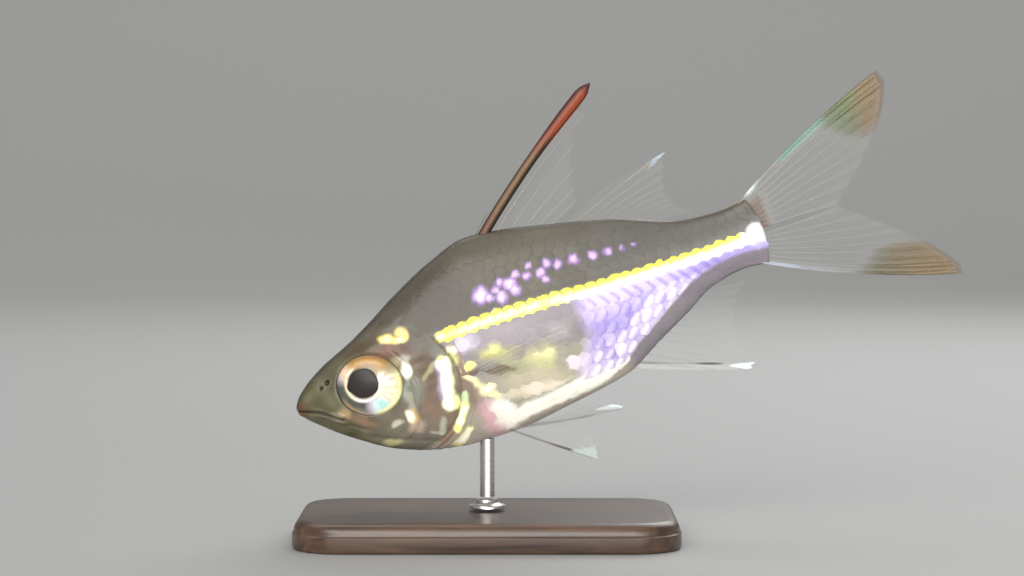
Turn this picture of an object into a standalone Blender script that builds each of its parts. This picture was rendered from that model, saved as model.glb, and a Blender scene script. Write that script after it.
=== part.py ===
"""A glass perch on a small display stand, at life size, as a still museum model.

The long-spined glass perch is a small, deep and flat-sided fish with see-through flesh, a big eye, a very
long second spine in its back fin and a deeply forked tail fin. The fish is modelled in its own frame, in
shares of its standard length: "along" runs from the snout tip to the root of the tail fin, "up" is square to
it, and "out" is sideways. The empty fish_pose then tips the fish nose down and lifts it over the stand.
Metres, +Z up. The fish looks along -X, its left side faces -Y, and the origin is the middle of the stand's
underside.
"""

import math

import bmesh
import bpy
import numpy as np
from mathutils import Matrix, Vector

# Driving sizes, in metres and degrees
LENGTH = 0.060  # standard length, from the snout tip to the root of the tail fin
NOSE_DOWN = 20.3
GAP = 0.0003  # between two nodes that meet
RING = 28  # points round the body
STATIONS = 40  # rings along the body

# The body's outlines, as shares of the standard length: (along, up) for the back, the belly and the level
# where the body is widest, and (along, out) for half of its width
BACK_LINE = [
    (-0.004, 0.000), (0.0, 0.010), (0.02, 0.031), (0.06, 0.056), (0.15, 0.093), (0.20, 0.117), (0.25, 0.143),
    (0.35, 0.186), (0.43, 0.207), (0.49, 0.200), (0.60, 0.174), (0.72, 0.141), (0.86, 0.088), (0.94, 0.080),
    (1.0, 0.084),
]
BELLY_LINE = [
    (-0.004, -0.008), (0.0, -0.018), (0.02, -0.041), (0.05, -0.070), (0.10, -0.110), (0.16, -0.149),
    (0.24, -0.179), (0.32, -0.193), (0.40, -0.196), (0.52, -0.185), (0.60, -0.1755), (0.655, -0.1645),
    (0.69, -0.148), (0.72, -0.132), (0.80, -0.094), (0.87, -0.060), (0.94, -0.050), (1.0, -0.056),
]
WIDEST_LEVEL = [(-0.004, -0.004), (0.15, -0.014), (0.35, -0.022), (0.60, -0.004), (1.0, 0.012)]
HALF_WIDTH = [
    (-0.004, 0.003), (0.0, 0.012), (0.02, 0.024), (0.06, 0.039), (0.10, 0.049), (0.16, 0.058), (0.24, 0.065),
    (0.32, 0.069), (0.42, 0.067), (0.55, 0.058), (0.68, 0.044), (0.80, 0.030), (0.90, 0.021), (1.0, 0.013),
]
# How hollow the section is above and below its widest level: 1 is an ellipse, more is leaner
LEAN_ABOVE = [(0.0, 0.80), (0.2, 0.88), (0.45, 1.12), (1.0, 1.0)]
LEAN_BELOW = [(0.0, 0.85), (0.2, 0.88), (0.5, 0.95), (0.7, 1.15), (1.0, 1.0)]
TAIL_ROOT_BULGE = 0.012  # how far the middle of the tail root stands behind its corners
TAIL_STALK_FROM = 0.872

# Head: the gill opening and the front edge of the gill cover are arcs of ellipses, (centre, reach) in shares
GILL_OPENING = ((0.198, -0.035), (0.132, 0.128))
GILL_ARC = (62.0, -78.0)
COVER_FRONT = ((0.165, -0.030), (0.078, 0.106))
COVER_ARC = (52.0, -74.0)
COVER_DEPTH = 0.0010
CHEEK_SWELL = 0.00045  # how far the gill cover's edge stands out from the flank behind it
EYE_PLACE = (0.1545, -0.005)
EYE_RADIUS = 0.0640 * LENGTH
EYE_DOME = 0.00115
EYE_DEPTH = 0.0021
EYE_OUT = 0.00295  # from the middle plane to the eye's equator
EYE_FORWARD = 8.0
ORBIT_RIM = 0.00034
MOUTH_TIP = (-0.012, -0.003)
MOUTH_BEND = (0.034, -0.021)
MOUTH_CORNER = (0.078, -0.052)
JAW_JOINT = (0.118, -0.094)
THROAT = (0.098, -0.210)
LIP = 0.00036
NOSTRILS = [(0.060, 0.022, 0.00026), (0.074, 0.029, 0.00033)]

# Fins: a web's half thickness, and how fins reach into the flesh before they are cut back to it
WEB = 0.00026
TIP_WEB = 0.00016
ROOT_REACH = 0.0011

# Stand
BASE_SIZE = (0.046, 0.028, 0.0035)
BASE_CORNER = 0.006
BASE_BEVEL = 0.0007
COLLAR = (0.0022, 0.0011)
ROD_RADIUS = 0.0009
ROD_UNDER = (0.335, -0.190)  # where the rod meets the belly
BELLY_HEIGHT = 0.0122  # of that place over the floor


def smooth_line(points):
    """A function that runs smoothly through (place, value) points and never overshoots them."""
    place, value = np.array(points, float).T
    gap = np.diff(place)
    rise = np.diff(value) / gap
    slope = np.zeros_like(place)
    slope[0], slope[-1] = rise[0], rise[-1]
    for i in range(1, len(place) - 1):
        if rise[i - 1] * rise[i] > 0:
            before, after = 2 * gap[i] + gap[i - 1], gap[i] + 2 * gap[i - 1]
            slope[i] = (before + after) / (before / rise[i - 1] + after / rise[i])

    def at(where):
        i = int(np.clip(np.searchsorted(place, where) - 1, 0, len(gap) - 1))
        t = min(1.0, max(0.0, (where - place[i]) / gap[i]))
        start = (1 + 2 * t) * (1 - t) ** 2 * value[i] + t * (1 - t) ** 2 * gap[i] * slope[i]
        end = t * t * (3 - 2 * t) * value[i + 1] + t * t * (t - 1) * gap[i] * slope[i + 1]
        return float(start + end)

    return at


back = smooth_line(BACK_LINE)
belly = smooth_line(BELLY_LINE)
widest = smooth_line(WIDEST_LEVEL)
half_width = smooth_line(HALF_WIDTH)
lean_above = smooth_line(LEAN_ABOVE)
lean_below = smooth_line(LEAN_BELOW)


def ramp(value, low, high):
    """0 below low, 1 above high, and smooth between."""
    t = min(1.0, max(0.0, (value - low) / (high - low)))
    return t * t * (3 - 2 * t)


def cheek(along, up):
    """How far the gill cover swells the side of the head, in metres."""
    (middle_along, middle_up), (reach_along, reach_up) = GILL_OPENING
    radius = math.hypot((along - middle_along) / reach_along, (up - middle_up) / reach_up)
    return CHEEK_SWELL * ramp(radius, 0.45, 0.9) * ramp(along, 0.17, 0.25) * (1 - ramp(up, 0.03, 0.09))


def section_point(along, turn, grow=0.0, swollen=False):
    """A point of the body's section, in metres. turn runs from 0 at the left flank up over the back."""
    level = widest(along) * LENGTH
    top, bottom = back(along) * LENGTH + grow, belly(along) * LENGTH - grow
    rise, spread = math.sin(turn), math.cos(turn)
    up = level + rise * (top - level if rise > 0 else level - bottom)
    lean = (lean_above if rise > 0 else lean_below)(along)
    out = abs(spread) ** lean * (half_width(along) * LENGTH + grow)
    if swollen:
        out += cheek(along, up / LENGTH) * abs(spread) ** 0.5
    height = (up - level) / (top - level if rise > 0 else level - bottom)
    setback = TAIL_ROOT_BULGE * LENGTH * height**2 * ramp(along, 0.9, 1.0)
    return Vector((along * LENGTH - setback, -math.copysign(out, spread), up))


def side_of_body(along, up):
    """Half the body's width at a place seen from the side, in metres."""
    level = widest(along)
    above = up > level
    edge = (back if above else belly)(along)
    height = min(0.999, abs((up - level) / (edge - level)))
    lean = (lean_above if above else lean_below)(along)
    return half_width(along) * LENGTH * math.sqrt(1 - height * height) ** lean


def on_body(along, up, out=0.0):
    """A place in shares of the length, and metres out from the middle plane, as a point."""
    return Vector((along * LENGTH, out, up * LENGTH))


def arc(ellipse, start, end, steps, grow=0.0):
    """Points (along, up) on an ellipse between two angles. grow widens it, in metres."""
    (middle_along, middle_up), (reach_along, reach_up) = ellipse
    more = grow / LENGTH
    angles = [math.radians(start + (end - start) * k / steps) for k in range(steps + 1)]
    return [
        (middle_along + (reach_along + more) * math.cos(a), middle_up + (reach_up + more) * math.sin(a))
        for a in angles
    ]


def material(name, colour, roughness, metallic=0.0, alpha=1.0):
    made = bpy.data.materials.new(name)
    made.use_nodes = True
    surface = made.node_tree.nodes["Principled BSDF"]
    surface.inputs["Base Color"].default_value = (*colour, 1.0)
    surface.inputs["Roughness"].default_value = roughness
    surface.inputs["Metallic"].default_value = metallic
    surface.inputs["Alpha"].default_value = alpha
    return made


def new_object(name, points, faces, parent=None):
    """An object from points and faces, with its faces turned outwards."""
    mesh = bpy.data.meshes.new(name)
    shape = bmesh.new()
    corners = [shape.verts.new(p) for p in points]
    for face in faces:
        shape.faces.new([corners[i] for i in face])
    bmesh.ops.recalc_face_normals(shape, faces=shape.faces)
    shape.to_mesh(mesh)
    shape.free()
    made = bpy.data.objects.new(name, mesh)
    bpy.context.scene.collection.objects.link(made)
    made.parent = parent
    return made


def rings_to_faces(count, around, closed=False):
    """Triangles between rings of points, with a fan over the first and last point set of an open run."""
    faces = []
    for r in range(count if closed else count - 1):
        for k in range(around):
            a, b = r * around + k, r * around + (k + 1) % around
            c, d = ((r + 1) % count) * around + (k + 1) % around, ((r + 1) % count) * around + k
            faces += [(a, b, c), (a, c, d)]
    if not closed:
        first, last = count * around, count * around + 1
        for k in range(around):
            faces.append((first, (k + 1) % around, k))
            end = (count - 1) * around
            faces.append((last, end + k, end + (k + 1) % around))
    return faces


def body_shell(name, parent, grow=0.0, swollen=False):
    """The whole body from snout to tail root as one closed shape."""
    reach = 1.004
    places = [-0.004 + reach * (k / (STATIONS - 1)) ** 1.3 for k in range(STATIONS)]
    points = []
    for n, along in enumerate(places):
        ring = [section_point(along, 2 * math.pi * k / RING, grow, swollen) for k in range(RING)]
        shift = -grow if n == 0 else grow if n == STATIONS - 1 else 0.0
        points += [p + Vector((shift, 0, 0)) for p in ring]
    for ring in (points[:RING], points[-RING:]):
        points.append(sum(ring, Vector()) / RING)
    return new_object(name, points, rings_to_faces(STATIONS, RING), parent)


def prism(name, outline, parent, reach=0.02):
    """A block with this outline in the side view, right through the fish."""
    near = [on_body(along, up, -reach) for along, up in outline]
    far = [on_body(along, up, reach) for along, up in outline]
    count = len(outline)
    faces = [tuple(range(count)), tuple(range(2 * count - 1, count - 1, -1))]
    faces += [(k, k + count, (k + 1) % count + count, (k + 1) % count) for k in range(count)]
    return new_object(name, near + far, faces, parent)


def tube(name, centres, radii, parent, sides=8, closed=False, upright=Vector((0, 0, 1))):
    """A round tube along points. A closed one is a ring."""
    points = []
    count = len(centres)
    for n, centre in enumerate(centres):
        after = centres[(n + 1) % count] if closed or n < count - 1 else centres[n]
        before = centres[n - 1] if closed or n > 0 else centres[n]
        run = (after - before).normalized()
        side = run.cross(upright).normalized()
        over = side.cross(run)
        for k in range(sides):
            turn = 2 * math.pi * k / sides
            points.append(centre + radii[n] * (math.cos(turn) * side + math.sin(turn) * over))
    if not closed:
        points += [centres[0], centres[-1]]
    return new_object(name, points, rings_to_faces(count, sides, closed), parent)


def cut(node, kind, other):
    """Adds a Boolean to a node: DIFFERENCE or INTERSECT with one closed shape."""
    step = node.modifiers.new(kind.lower(), "BOOLEAN")
    step.operation = kind
    step.solver = "EXACT"
    step.object = other
    other.hide_render = True
    other.display_type = "WIRE"


def fuse(node, pieces):
    """Joins closed pieces to a node with one Boolean union on a collection, and removes them."""
    group = bpy.data.collections.new(node.name + "_pieces")
    for piece in pieces:
        group.objects.link(piece)
    step = node.modifiers.new("union", "BOOLEAN")
    step.operation = "UNION"
    step.solver = "EXACT"
    step.operand_type = "COLLECTION"
    step.collection = group
    apply_shape(node)
    for piece in pieces:
        bpy.data.objects.remove(piece)
    bpy.data.collections.remove(group)


def apply_shape(node):
    """Makes a node's evaluated shape its own mesh and keeps only its largest closed surface."""
    bpy.context.view_layer.update()
    graph = bpy.context.evaluated_depsgraph_get()
    made = bpy.data.meshes.new_from_object(node.evaluated_get(graph))
    node.modifiers.clear()
    shape = bmesh.new()
    shape.from_mesh(made)
    left, groups = set(shape.faces), []
    while left:
        group, front = set(), [next(iter(left))]
        while front:
            face = front.pop()
            if face in left:
                left.discard(face)
                group.add(face)
                front += [f for edge in face.edges for f in edge.link_faces if f in left]
        groups.append(group)
    biggest = max(groups, key=lambda g: sum(f.calc_area() for f in g))
    spare = [f for f in shape.faces if f not in biggest]
    bmesh.ops.delete(shape, geom=spare, context="FACES")
    shape.to_mesh(made)
    shape.free()
    node.data = made


def finish(node, look, sharp=40.0):
    """Gives a node its material and smooth shading, with edges sharper than an angle kept."""
    node.data.materials.clear()
    node.data.materials.append(look)
    node.data.shade_smooth()
    node.data.set_sharp_from_angle(angle=math.radians(sharp))


def ray_line(root, tip, bow, steps):
    """Points along a fin ray from root to tip. bow lifts its middle, as a share of its length."""
    run = tip - root
    lift = Vector((-run.z, 0, run.x)) * bow
    return [root + run * (n / steps) + lift * 4 * (n / steps) * (1 - n / steps) for n in range(steps + 1)]


def fin(name, rays, sizes, parent, side=None, rows=6, notch=0.03, shoulder=0.30):
    """One closed fin: a thin web between rays, with each ray raised in the web's own surface.

    rays holds a list of points for each ray, root to tip, and sizes each ray's half thickness at its root.
    side is the way square to the fin. The web ends short of the ray tips by the share notch.
    """
    side = (side or Vector((0, 1, 0))).normalized()

    def along_ray(points, share):
        place = share * (len(points) - 1)
        k = min(int(place), len(points) - 2)
        return points[k].lerp(points[k + 1], place - k)

    columns = []
    last = len(rays) - 1
    for i, ray in enumerate(rays):
        for step in (-1, 0, 1):
            j = i + step
            if step and 0 <= j <= last:
                columns.append((i, j, shoulder, 1 - notch, WEB, TIP_WEB))
            elif step:
                columns.append((i, i - step, -0.5 * sizes[i], 1 - notch / 3, 0.45 * sizes[i], 0.45 * TIP_WEB))
            else:
                columns.append((i, i, 0.0, 1.0, sizes[i], TIP_WEB * 1.2))
    faces_near, faces_far = [], []
    for i, j, mix, reach, thick, thin in columns:
        for n in range(rows + 1):
            share = reach * n / rows
            here = along_ray(rays[i], share)
            there = along_ray(rays[j], share)
            if mix < 0:
                here = here + (there - here).normalized() * mix * (1 - 0.5 * n / rows)
            elif i != j:
                here = here.lerp(there, mix)
            half = thick + (thin - thick) * (n / rows) ** 1.2
            faces_near.append(here - side * half)
            faces_far.append(here + side * half)
    per, count = rows + 1, len(columns)
    offset = per * count
    faces = []
    for c in range(count - 1):
        for n in range(rows):
            a, b = c * per + n, (c + 1) * per + n
            faces += [(a, b, b + 1), (a, b + 1, a + 1)]
            faces += [(offset + a, offset + b + 1, offset + b), (offset + a, offset + a + 1, offset + b + 1)]
        for n in (0, rows):
            a, b = c * per + n, (c + 1) * per + n
            faces += [(a, offset + a, offset + b), (a, offset + b, b)]
    for c in (0, count - 1):
        for n in range(rows):
            a = c * per + n
            faces += [(a, a + 1, offset + a + 1), (a, offset + a + 1, offset + a)]
    return new_object(name, faces_near + faces_far, faces, parent)


def middle_fin_rays(roots, tips, bows):
    """Rays of a fin in the middle plane, from (along, up) roots and tips, sunk into the flesh at the root."""
    rays = []
    for root, tip, bow in zip(roots, tips, bows):
        start, end = on_body(*root), on_body(*tip)
        start = start - (end - start).normalized() * ROOT_REACH
        rays.append(ray_line(start, end, bow, 8))
    return rays


def spiny_back_fin(parent, clearance):
    """The front back fin: a short first spine, the very long second one, and five that lie back behind it."""
    first, last = (0.474, 0.199), (0.602, 0.168)
    roots = [(0.452, 0.200)]
    roots += [tuple(a + (b - a) * k / 5 for a, b in zip(first, last)) for k in range(6)]
    tips = [(0.492, 0.236), (0.776, 0.409), (0.748, 0.356), (0.704, 0.304), (0.686, 0.258), (0.676, 0.223)]
    tips.append((0.668, 0.196))
    sizes = [0.00042, 0.00062, 0.00052, 0.00044, 0.00040, 0.00036, 0.00034]
    rays = middle_fin_rays(roots, tips, [0.0, 0.022, 0.03, 0.02, 0.01, 0.0, 0.0])
    node = fin("dorsal_fin_spiny", rays, sizes, parent, rows=8, notch=0.06)
    cut(node, "DIFFERENCE", clearance)
    return node


def soft_back_fin(parent, clearance):
    """The rear back fin: one short spine and nine soft rays that shorten quickly towards the tail."""
    count = 10
    roots, tips = [], []
    for k in range(count):
        share = k / (count - 1)
        along = 0.634 + 0.166 * share
        angle = math.radians(21.0 - 25.0 * share)
        length = 0.12 if k == 0 else 0.078 + 0.154 * (1 - (k - 1) / (count - 2)) ** 2.0
        root = (along, back(along) - 0.004)
        roots.append(root)
        tips.append((root[0] + length * math.cos(angle), root[1] + length * math.sin(angle)))
    sizes = [0.00042] + [0.00038] * (count - 1)
    node = fin("dorsal_fin_soft", middle_fin_rays(roots, tips, [0.012] * count), sizes, parent, notch=0.05)
    cut(node, "DIFFERENCE", clearance)
    return node


def anal_fin(parent, clearance):
    """The fin under the tail end: three spines and nine soft rays, longest in front."""
    spines, count = [0.085, 0.200, 0.212], 12
    roots, tips = [], []
    for k in range(count):
        share = k / (count - 1)
        along = 0.660 + 0.196 * share
        soft = (k - len(spines)) / (count - 1 - len(spines))
        angle = math.radians(-22.5 - 2.9 * k if k < len(spines) else -29.4 + 18.4 * soft)
        length = spines[k] if k < len(spines) else 0.075 + 0.132 * (1 - soft) ** 2.0
        root = (along, belly(along) + 0.004)
        roots.append(root)
        tips.append((root[0] + length * math.cos(angle), root[1] + length * math.sin(angle)))
    sizes = [0.00044, 0.00050, 0.00046] + [0.00038] * (count - len(spines))
    node = fin("anal_fin", middle_fin_rays(roots, tips, [-0.012] * count), sizes, parent, notch=0.05)
    cut(node, "DIFFERENCE", clearance)
    return node


def tail_lobe(name, upper, parent, clearance):
    """One lobe of the forked tail fin. Its ray tips lie on a curve from the lobe's tip to the fork."""
    count = 9
    if upper:
        lobe_tip, bend, fork = (1.330, 0.236), (1.322, 0.132), (1.165, 0.012)
        first_root, last_root = (0.978, 0.080), (1.0, 0.018)
    else:
        lobe_tip, bend, fork = (1.356, -0.208), (1.300, -0.110), (1.165, 0.000)
        first_root, last_root = (0.984, -0.051), (1.0, 0.004)
    roots, tips = [], []
    for k in range(count):
        share = k / (count - 1)
        roots.append(tuple(a + (b - a) * share for a, b in zip(first_root, last_root)))
        tips.append(
            tuple(
                (1 - share) ** 2 * a + 2 * share * (1 - share) * b + share**2 * c
                for a, b, c in zip(lobe_tip, bend, fork)
            )
        )
    bow = 0.028 if upper else -0.030
    rays = middle_fin_rays(roots, tips, [bow * (1 - k / count) for k in range(count)])
    node = fin(name, rays, [0.00050] * 2 + [0.00042] * (count - 2), parent, rows=7, notch=0.02)
    cut(node, "DIFFERENCE", clearance)
    return node


def paired_fin(name, root_line, front_tip, rear_tip, curve, count, bow, parent, clearance):
    """A breast or belly fin. Its places are (along, up, metres out), and curve shapes its outer edge."""
    start, end = (on_body(*place) for place in root_line)
    front, rear = on_body(*front_tip), on_body(*rear_tip)
    side = (front - start).cross(rear - end).normalized()
    rays = []
    for k in range(count):
        share = k / (count - 1)
        root = start.lerp(end, share)
        tip = front.lerp(rear, share)
        tip = tip + (tip - root) * curve * 4 * share * (1 - share)
        root = root - (tip - root).normalized() * ROOT_REACH
        run = tip - root
        rays.append([root + run * (n / 6) + side * bow * 4 * (n / 6) * (1 - n / 6) for n in range(7)])
    sizes = [0.00046] + [0.00036] * (count - 1)
    node = fin(name, rays, sizes, parent, side=side, rows=6, notch=0.03)
    cut(node, "DIFFERENCE", clearance)
    return node


def breast_fins(parent, clearance):
    """The breast fins, which start behind the gill covers and lie back a little off the flanks."""
    made = []
    for name, way in (("pectoral_fin_left", -1), ("pectoral_fin_right", 1)):
        ends = ((0.346, -0.048), (0.352, -0.104))
        root_line = [(along, up, way * (side_of_body(along, up) - 0.0002)) for along, up in ends]
        front = (0.560, -0.020, way * 0.0076)
        rear = (0.472, -0.142, way * 0.0068)
        made.append(paired_fin(name, root_line, front, rear, 0.14, 11, way * 0.0004, parent, clearance))
    return made


def belly_fins(parent, clearance):
    """The belly fins. The left one hangs lower and stands out more than the right one."""
    tips = {
        "pelvic_fin_left": (-1, (0.531, -0.292, -0.0066), (0.528, -0.231, -0.0030)),
        "pelvic_fin_right": (1, (0.6215, -0.230, 0.0046), (0.540, -0.202, 0.0010)),
    }
    made = []
    for name, (way, front, rear) in tips.items():
        root_line = [(0.388, -0.188, way * 0.0014), (0.408, -0.190, way * 0.0009)]
        made.append(paired_fin(name, root_line, front, rear, 0.05, 6, way * 0.0003, parent, clearance))
    return made


def gill_edge(grow=0.0):
    """The line where the head ends, from the nape round the gill cover to the throat, as (along, up)."""
    points = arc(GILL_OPENING, *GILL_ARC, 20, grow)
    shift = grow / LENGTH
    nape = (points[0][0] - 0.012 + shift * 0.2, 0.4)
    throat = (points[-1][0] - 0.012, -0.4)
    return [nape, *points, throat]


def jaw_outline(grow=0.0):
    """The lower jaw's outline in the side view. grow widens it towards the head."""
    more = grow / LENGTH
    return [
        (MOUTH_TIP[0] - 0.05, MOUTH_TIP[1] + 0.018 + more),
        (MOUTH_TIP[0], MOUTH_TIP[1] + more),
        (MOUTH_BEND[0] + more * 0.3, MOUTH_BEND[1] + more),
        (MOUTH_CORNER[0] + more * 0.6, MOUTH_CORNER[1] + more * 0.8),
        (JAW_JOINT[0] + more, JAW_JOINT[1] + more * 0.3),
        (THROAT[0] + more, THROAT[1]),
        (MOUTH_TIP[0] - 0.05, THROAT[1]),
    ]


def cover_block(name, way, grow, parent):
    """The space of a gill cover on one side: between two arcs, and to a small depth under the skin."""
    steps = 14
    turn = math.degrees(grow / (COVER_FRONT[1][1] * LENGTH))
    start, end = COVER_ARC[0] + turn, COVER_ARC[1] - turn
    front = arc(COVER_FRONT, start, end, steps, -grow)
    rear = arc(GILL_OPENING, start, end, steps, 2 * grow)
    points = []
    for places in (front, rear):
        for depth in (True, False):
            for along, up in places:
                side = side_of_body(min(along, 0.34), up)
                out = max(0.0006, side - COVER_DEPTH) - grow if depth else side + 0.004
                points.append(on_body(along, up, way * out))
    per = steps + 1
    front_in, front_out, rear_in, rear_out = 0, per, 2 * per, 3 * per
    faces = []
    for a, b in ((front_in, front_out), (front_out, rear_out), (rear_out, rear_in), (rear_in, front_in)):
        for k in range(steps):
            faces += [(a + k, a + k + 1, b + k + 1), (a + k, b + k + 1, b + k)]
    for k in (0, steps):
        faces += [(front_in + k, front_out + k, rear_out + k), (front_in + k, rear_out + k, rear_in + k)]
    return new_object(name, points, faces, parent)


def eye_shape(name, way, grow, parent):
    """An eyeball: a low dome outside and a deeper bowl inside, turned a little forward."""
    around, rings = 28, 10
    points = []
    for r in range(1, rings):
        turn = math.pi * r / rings
        radius = (EYE_RADIUS + grow) * math.sin(turn) ** 0.9
        reach = (EYE_DOME if r < rings / 2 else EYE_DEPTH) + grow
        height = reach * math.cos(turn)
        for k in range(around):
            round_turn = 2 * math.pi * k / around
            points.append(Vector((radius * math.cos(round_turn), height, radius * math.sin(round_turn))))
    points += [Vector((0, EYE_DOME + grow, 0)), Vector((0, -EYE_DEPTH - grow, 0))]
    turned = Matrix.Rotation(math.radians(EYE_FORWARD), 3, "Z")
    centre = on_body(*EYE_PLACE, way * EYE_OUT)
    places = []
    for p in points:
        q = turned @ p
        places.append(centre + Vector((q.x, way * q.y, q.z)))
    return new_object(name, places, rings_to_faces(rings - 1, around), parent)


def orbit_rim(way, parent):
    """A low raised ring of skin round the eye."""
    steps = 24
    centres = []
    for k in range(steps):
        turn = 2 * math.pi * k / steps
        reach = (EYE_RADIUS + 0.00045) / LENGTH
        along, up = EYE_PLACE[0] + reach * math.cos(turn), EYE_PLACE[1] + reach * math.sin(turn)
        centres.append(on_body(along, up, way * (side_of_body(along, up) - 0.00005)))
    return tube("rim", centres, [ORBIT_RIM] * steps, parent, sides=6, closed=True, upright=Vector((0, 1, 0)))


def mouth_level(along):
    """How high the mouth line runs, as a share of the length."""
    return smooth_line([MOUTH_TIP, MOUTH_BEND, MOUTH_CORNER])(along)


def lip(name, above, parent):
    """A lip: a soft roll round the edge of one jaw, from one mouth corner over the snout tip to the other."""
    steps = 9
    lift = LIP * 0.75 / LENGTH * (1 if above else -1)
    half = []
    for k in range(steps + 1):
        along = MOUTH_CORNER[0] * (k / steps) ** 1.6
        up = mouth_level(along) + lift
        half.append((along, up, max(0.0, side_of_body(along, up) - 0.00012)))
    line = [on_body(along, up, -out) for along, up, out in reversed(half)]
    tip = on_body(-0.004, mouth_level(-0.004) + lift)
    line += [tip] + [on_body(along, up, out) for along, up, out in half]
    radii = [LIP * (0.55 + 0.45 * math.sin(math.pi * n / (len(line) - 1))) for n in range(len(line))]
    return tube(name, line, radii, parent, sides=6)


def nostril_pits(parent):
    """Two small openings on each side of the snout."""
    pits = []
    for way in (-1, 1):
        for along, up, radius in NOSTRILS:
            centre = on_body(along, up, way * side_of_body(along, up))
            out = Vector((-0.35, way, 0.25)).normalized() * 0.0007
            pits.append(tube("pit", [centre - out, centre + out], [radius, radius], parent, sides=10))
    return pits


def cheek_edge(grow=0.0):
    """The line between the face and the back of the head, down the gill cover's front edge, as (along, up)."""
    shift = grow / LENGTH
    first, last = arc(COVER_FRONT, *COVER_ARC, 1)
    above = [(first[0] - 0.02 + shift, 0.4), (first[0] + shift, first[1] + 0.01)]
    below = [(last[0] + shift, last[1] - 0.01), (last[0] - 0.01 + shift, -0.4)]
    return [*above, *arc(COVER_FRONT, *COVER_ARC, 14, grow), *below]


def head_nodes(parent):
    """The head's face, its back between the gill covers, the lower jaw, the gill covers and the eyes."""
    head = body_shell("head", parent, swollen=True)
    fuse(head, [orbit_rim(-1, parent), orbit_rim(1, parent), lip("upper_lip", True, parent)])
    nape = body_shell("nape", parent, swollen=True)
    jaw = body_shell("lower_jaw", parent, swollen=True)
    fuse(jaw, [lip("lower_lip", False, parent)])
    cutters = [
        prism("head_space", [(-0.1, 0.4), *cheek_edge(-GAP), (-0.1, -0.4)], parent),
        prism("nape_space", [*cheek_edge(), *reversed(gill_edge())], parent),
        prism("jaw_space", jaw_outline(), parent),
        prism("jaw_clearance", jaw_outline(GAP), parent),
    ]
    cut(head, "INTERSECT", cutters[0])
    cut(nape, "INTERSECT", cutters[1])
    cut(jaw, "INTERSECT", cutters[2])
    for node in (head, nape):
        cut(node, "DIFFERENCE", cutters[3])
    nodes = [head, nape, jaw]
    for side, way in (("left", -1), ("right", 1)):
        cover = body_shell("gill_cover_" + side, parent, swollen=True)
        space = cover_block("cover_space", way, 0.0, parent)
        clearance = cover_block("cover_clearance", way, GAP, parent)
        socket = eye_shape("eye_socket", way, GAP, parent)
        cut(cover, "INTERSECT", space)
        cut(nape, "DIFFERENCE", clearance)
        cut(head, "DIFFERENCE", socket)
        nodes += [cover, eye_shape("eye_" + side, way, 0.0, parent)]
        cutters += [space, clearance, socket]
    pits = nostril_pits(parent)
    for pit in pits:
        cut(head, "DIFFERENCE", pit)
    for node in nodes:
        apply_shape(node)
    return nodes, cutters + pits


def trunk_nodes(parent):
    """The trunk behind the gill opening and the tail stalk behind the fins."""
    half = GAP / 2 / LENGTH
    trunk = body_shell("trunk", parent)
    stalk = body_shell("tail_stalk", parent)
    before, after = TAIL_STALK_FROM - half, TAIL_STALK_FROM + half
    front = prism("trunk_space", [*gill_edge(GAP), (before, -0.4), (before, 0.4)], parent)
    rear = prism("stalk_space", [(after, 0.4), (after, -0.4), (1.2, -0.4), (1.2, 0.4)], parent)
    cut(trunk, "INTERSECT", front)
    cut(stalk, "INTERSECT", rear)
    for node in (trunk, stalk):
        apply_shape(node)
    return [trunk, stalk], [front, rear]


def round_block(name, size, corner, bevel, low):
    """A flat block with round corners and a small bevel round its top edge."""
    steps = 6
    outline = []
    half_long, half_wide = size[0] / 2 - corner, size[1] / 2 - corner
    for n, (sx, sy) in enumerate(((1, 1), (-1, 1), (-1, -1), (1, -1))):
        for k in range(steps + 1):
            turn = math.radians(90 * n + 90 * k / steps)
            across, deep = corner * math.cos(turn), corner * math.sin(turn)
            outline.append((sx * half_long + across, sy * half_wide + deep))
    count = len(outline)
    points = []
    for height, inset in ((low, 0.0), (low + size[2] - bevel, 0.0), (low + size[2], bevel)):
        points += [
            Vector((x * (1 - 2 * inset / size[0]), y * (1 - 2 * inset / size[1]), height)) for x, y in outline
        ]
    faces = [tuple(range(count)), tuple(range(2 * count, 3 * count))]
    for level in (0, count):
        faces += [
            (level + k, level + (k + 1) % count, level + count + (k + 1) % count, level + count + k)
            for k in range(count)
        ]
    return new_object(name, points, faces)


def stand_nodes(clearance):
    """A flat wooden base, a small turned collar and one rod up to the belly."""
    base = round_block("stand_base", BASE_SIZE, BASE_CORNER, BASE_BEVEL, 0.0)
    collar_low = BASE_SIZE[2] + GAP
    radius, height = COLLAR
    shoulder = collar_low + 0.45 * height
    profile = [(radius, collar_low), (radius, shoulder), (0.62 * radius, collar_low + height)]
    around = 24
    rings = [
        Vector((r * math.cos(2 * math.pi * k / around), r * math.sin(2 * math.pi * k / around), z))
        for r, z in profile
        for k in range(around)
    ]
    rings += [Vector((0, 0, profile[0][1])), Vector((0, 0, profile[-1][1]))]
    collar = new_object("stand_collar", rings, rings_to_faces(len(profile), around))
    rod_low = collar_low + height + GAP
    rod = tube(
        "stand_rod",
        [Vector((0, 0, rod_low)), Vector((0, 0, BELLY_HEIGHT + 0.002))],
        [ROD_RADIUS] * 2,
        None,
        sides=20,
        upright=Vector((0, 1, 0)),
    )
    cut(rod, "DIFFERENCE", clearance)
    apply_shape(rod)
    return base, collar, rod


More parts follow.
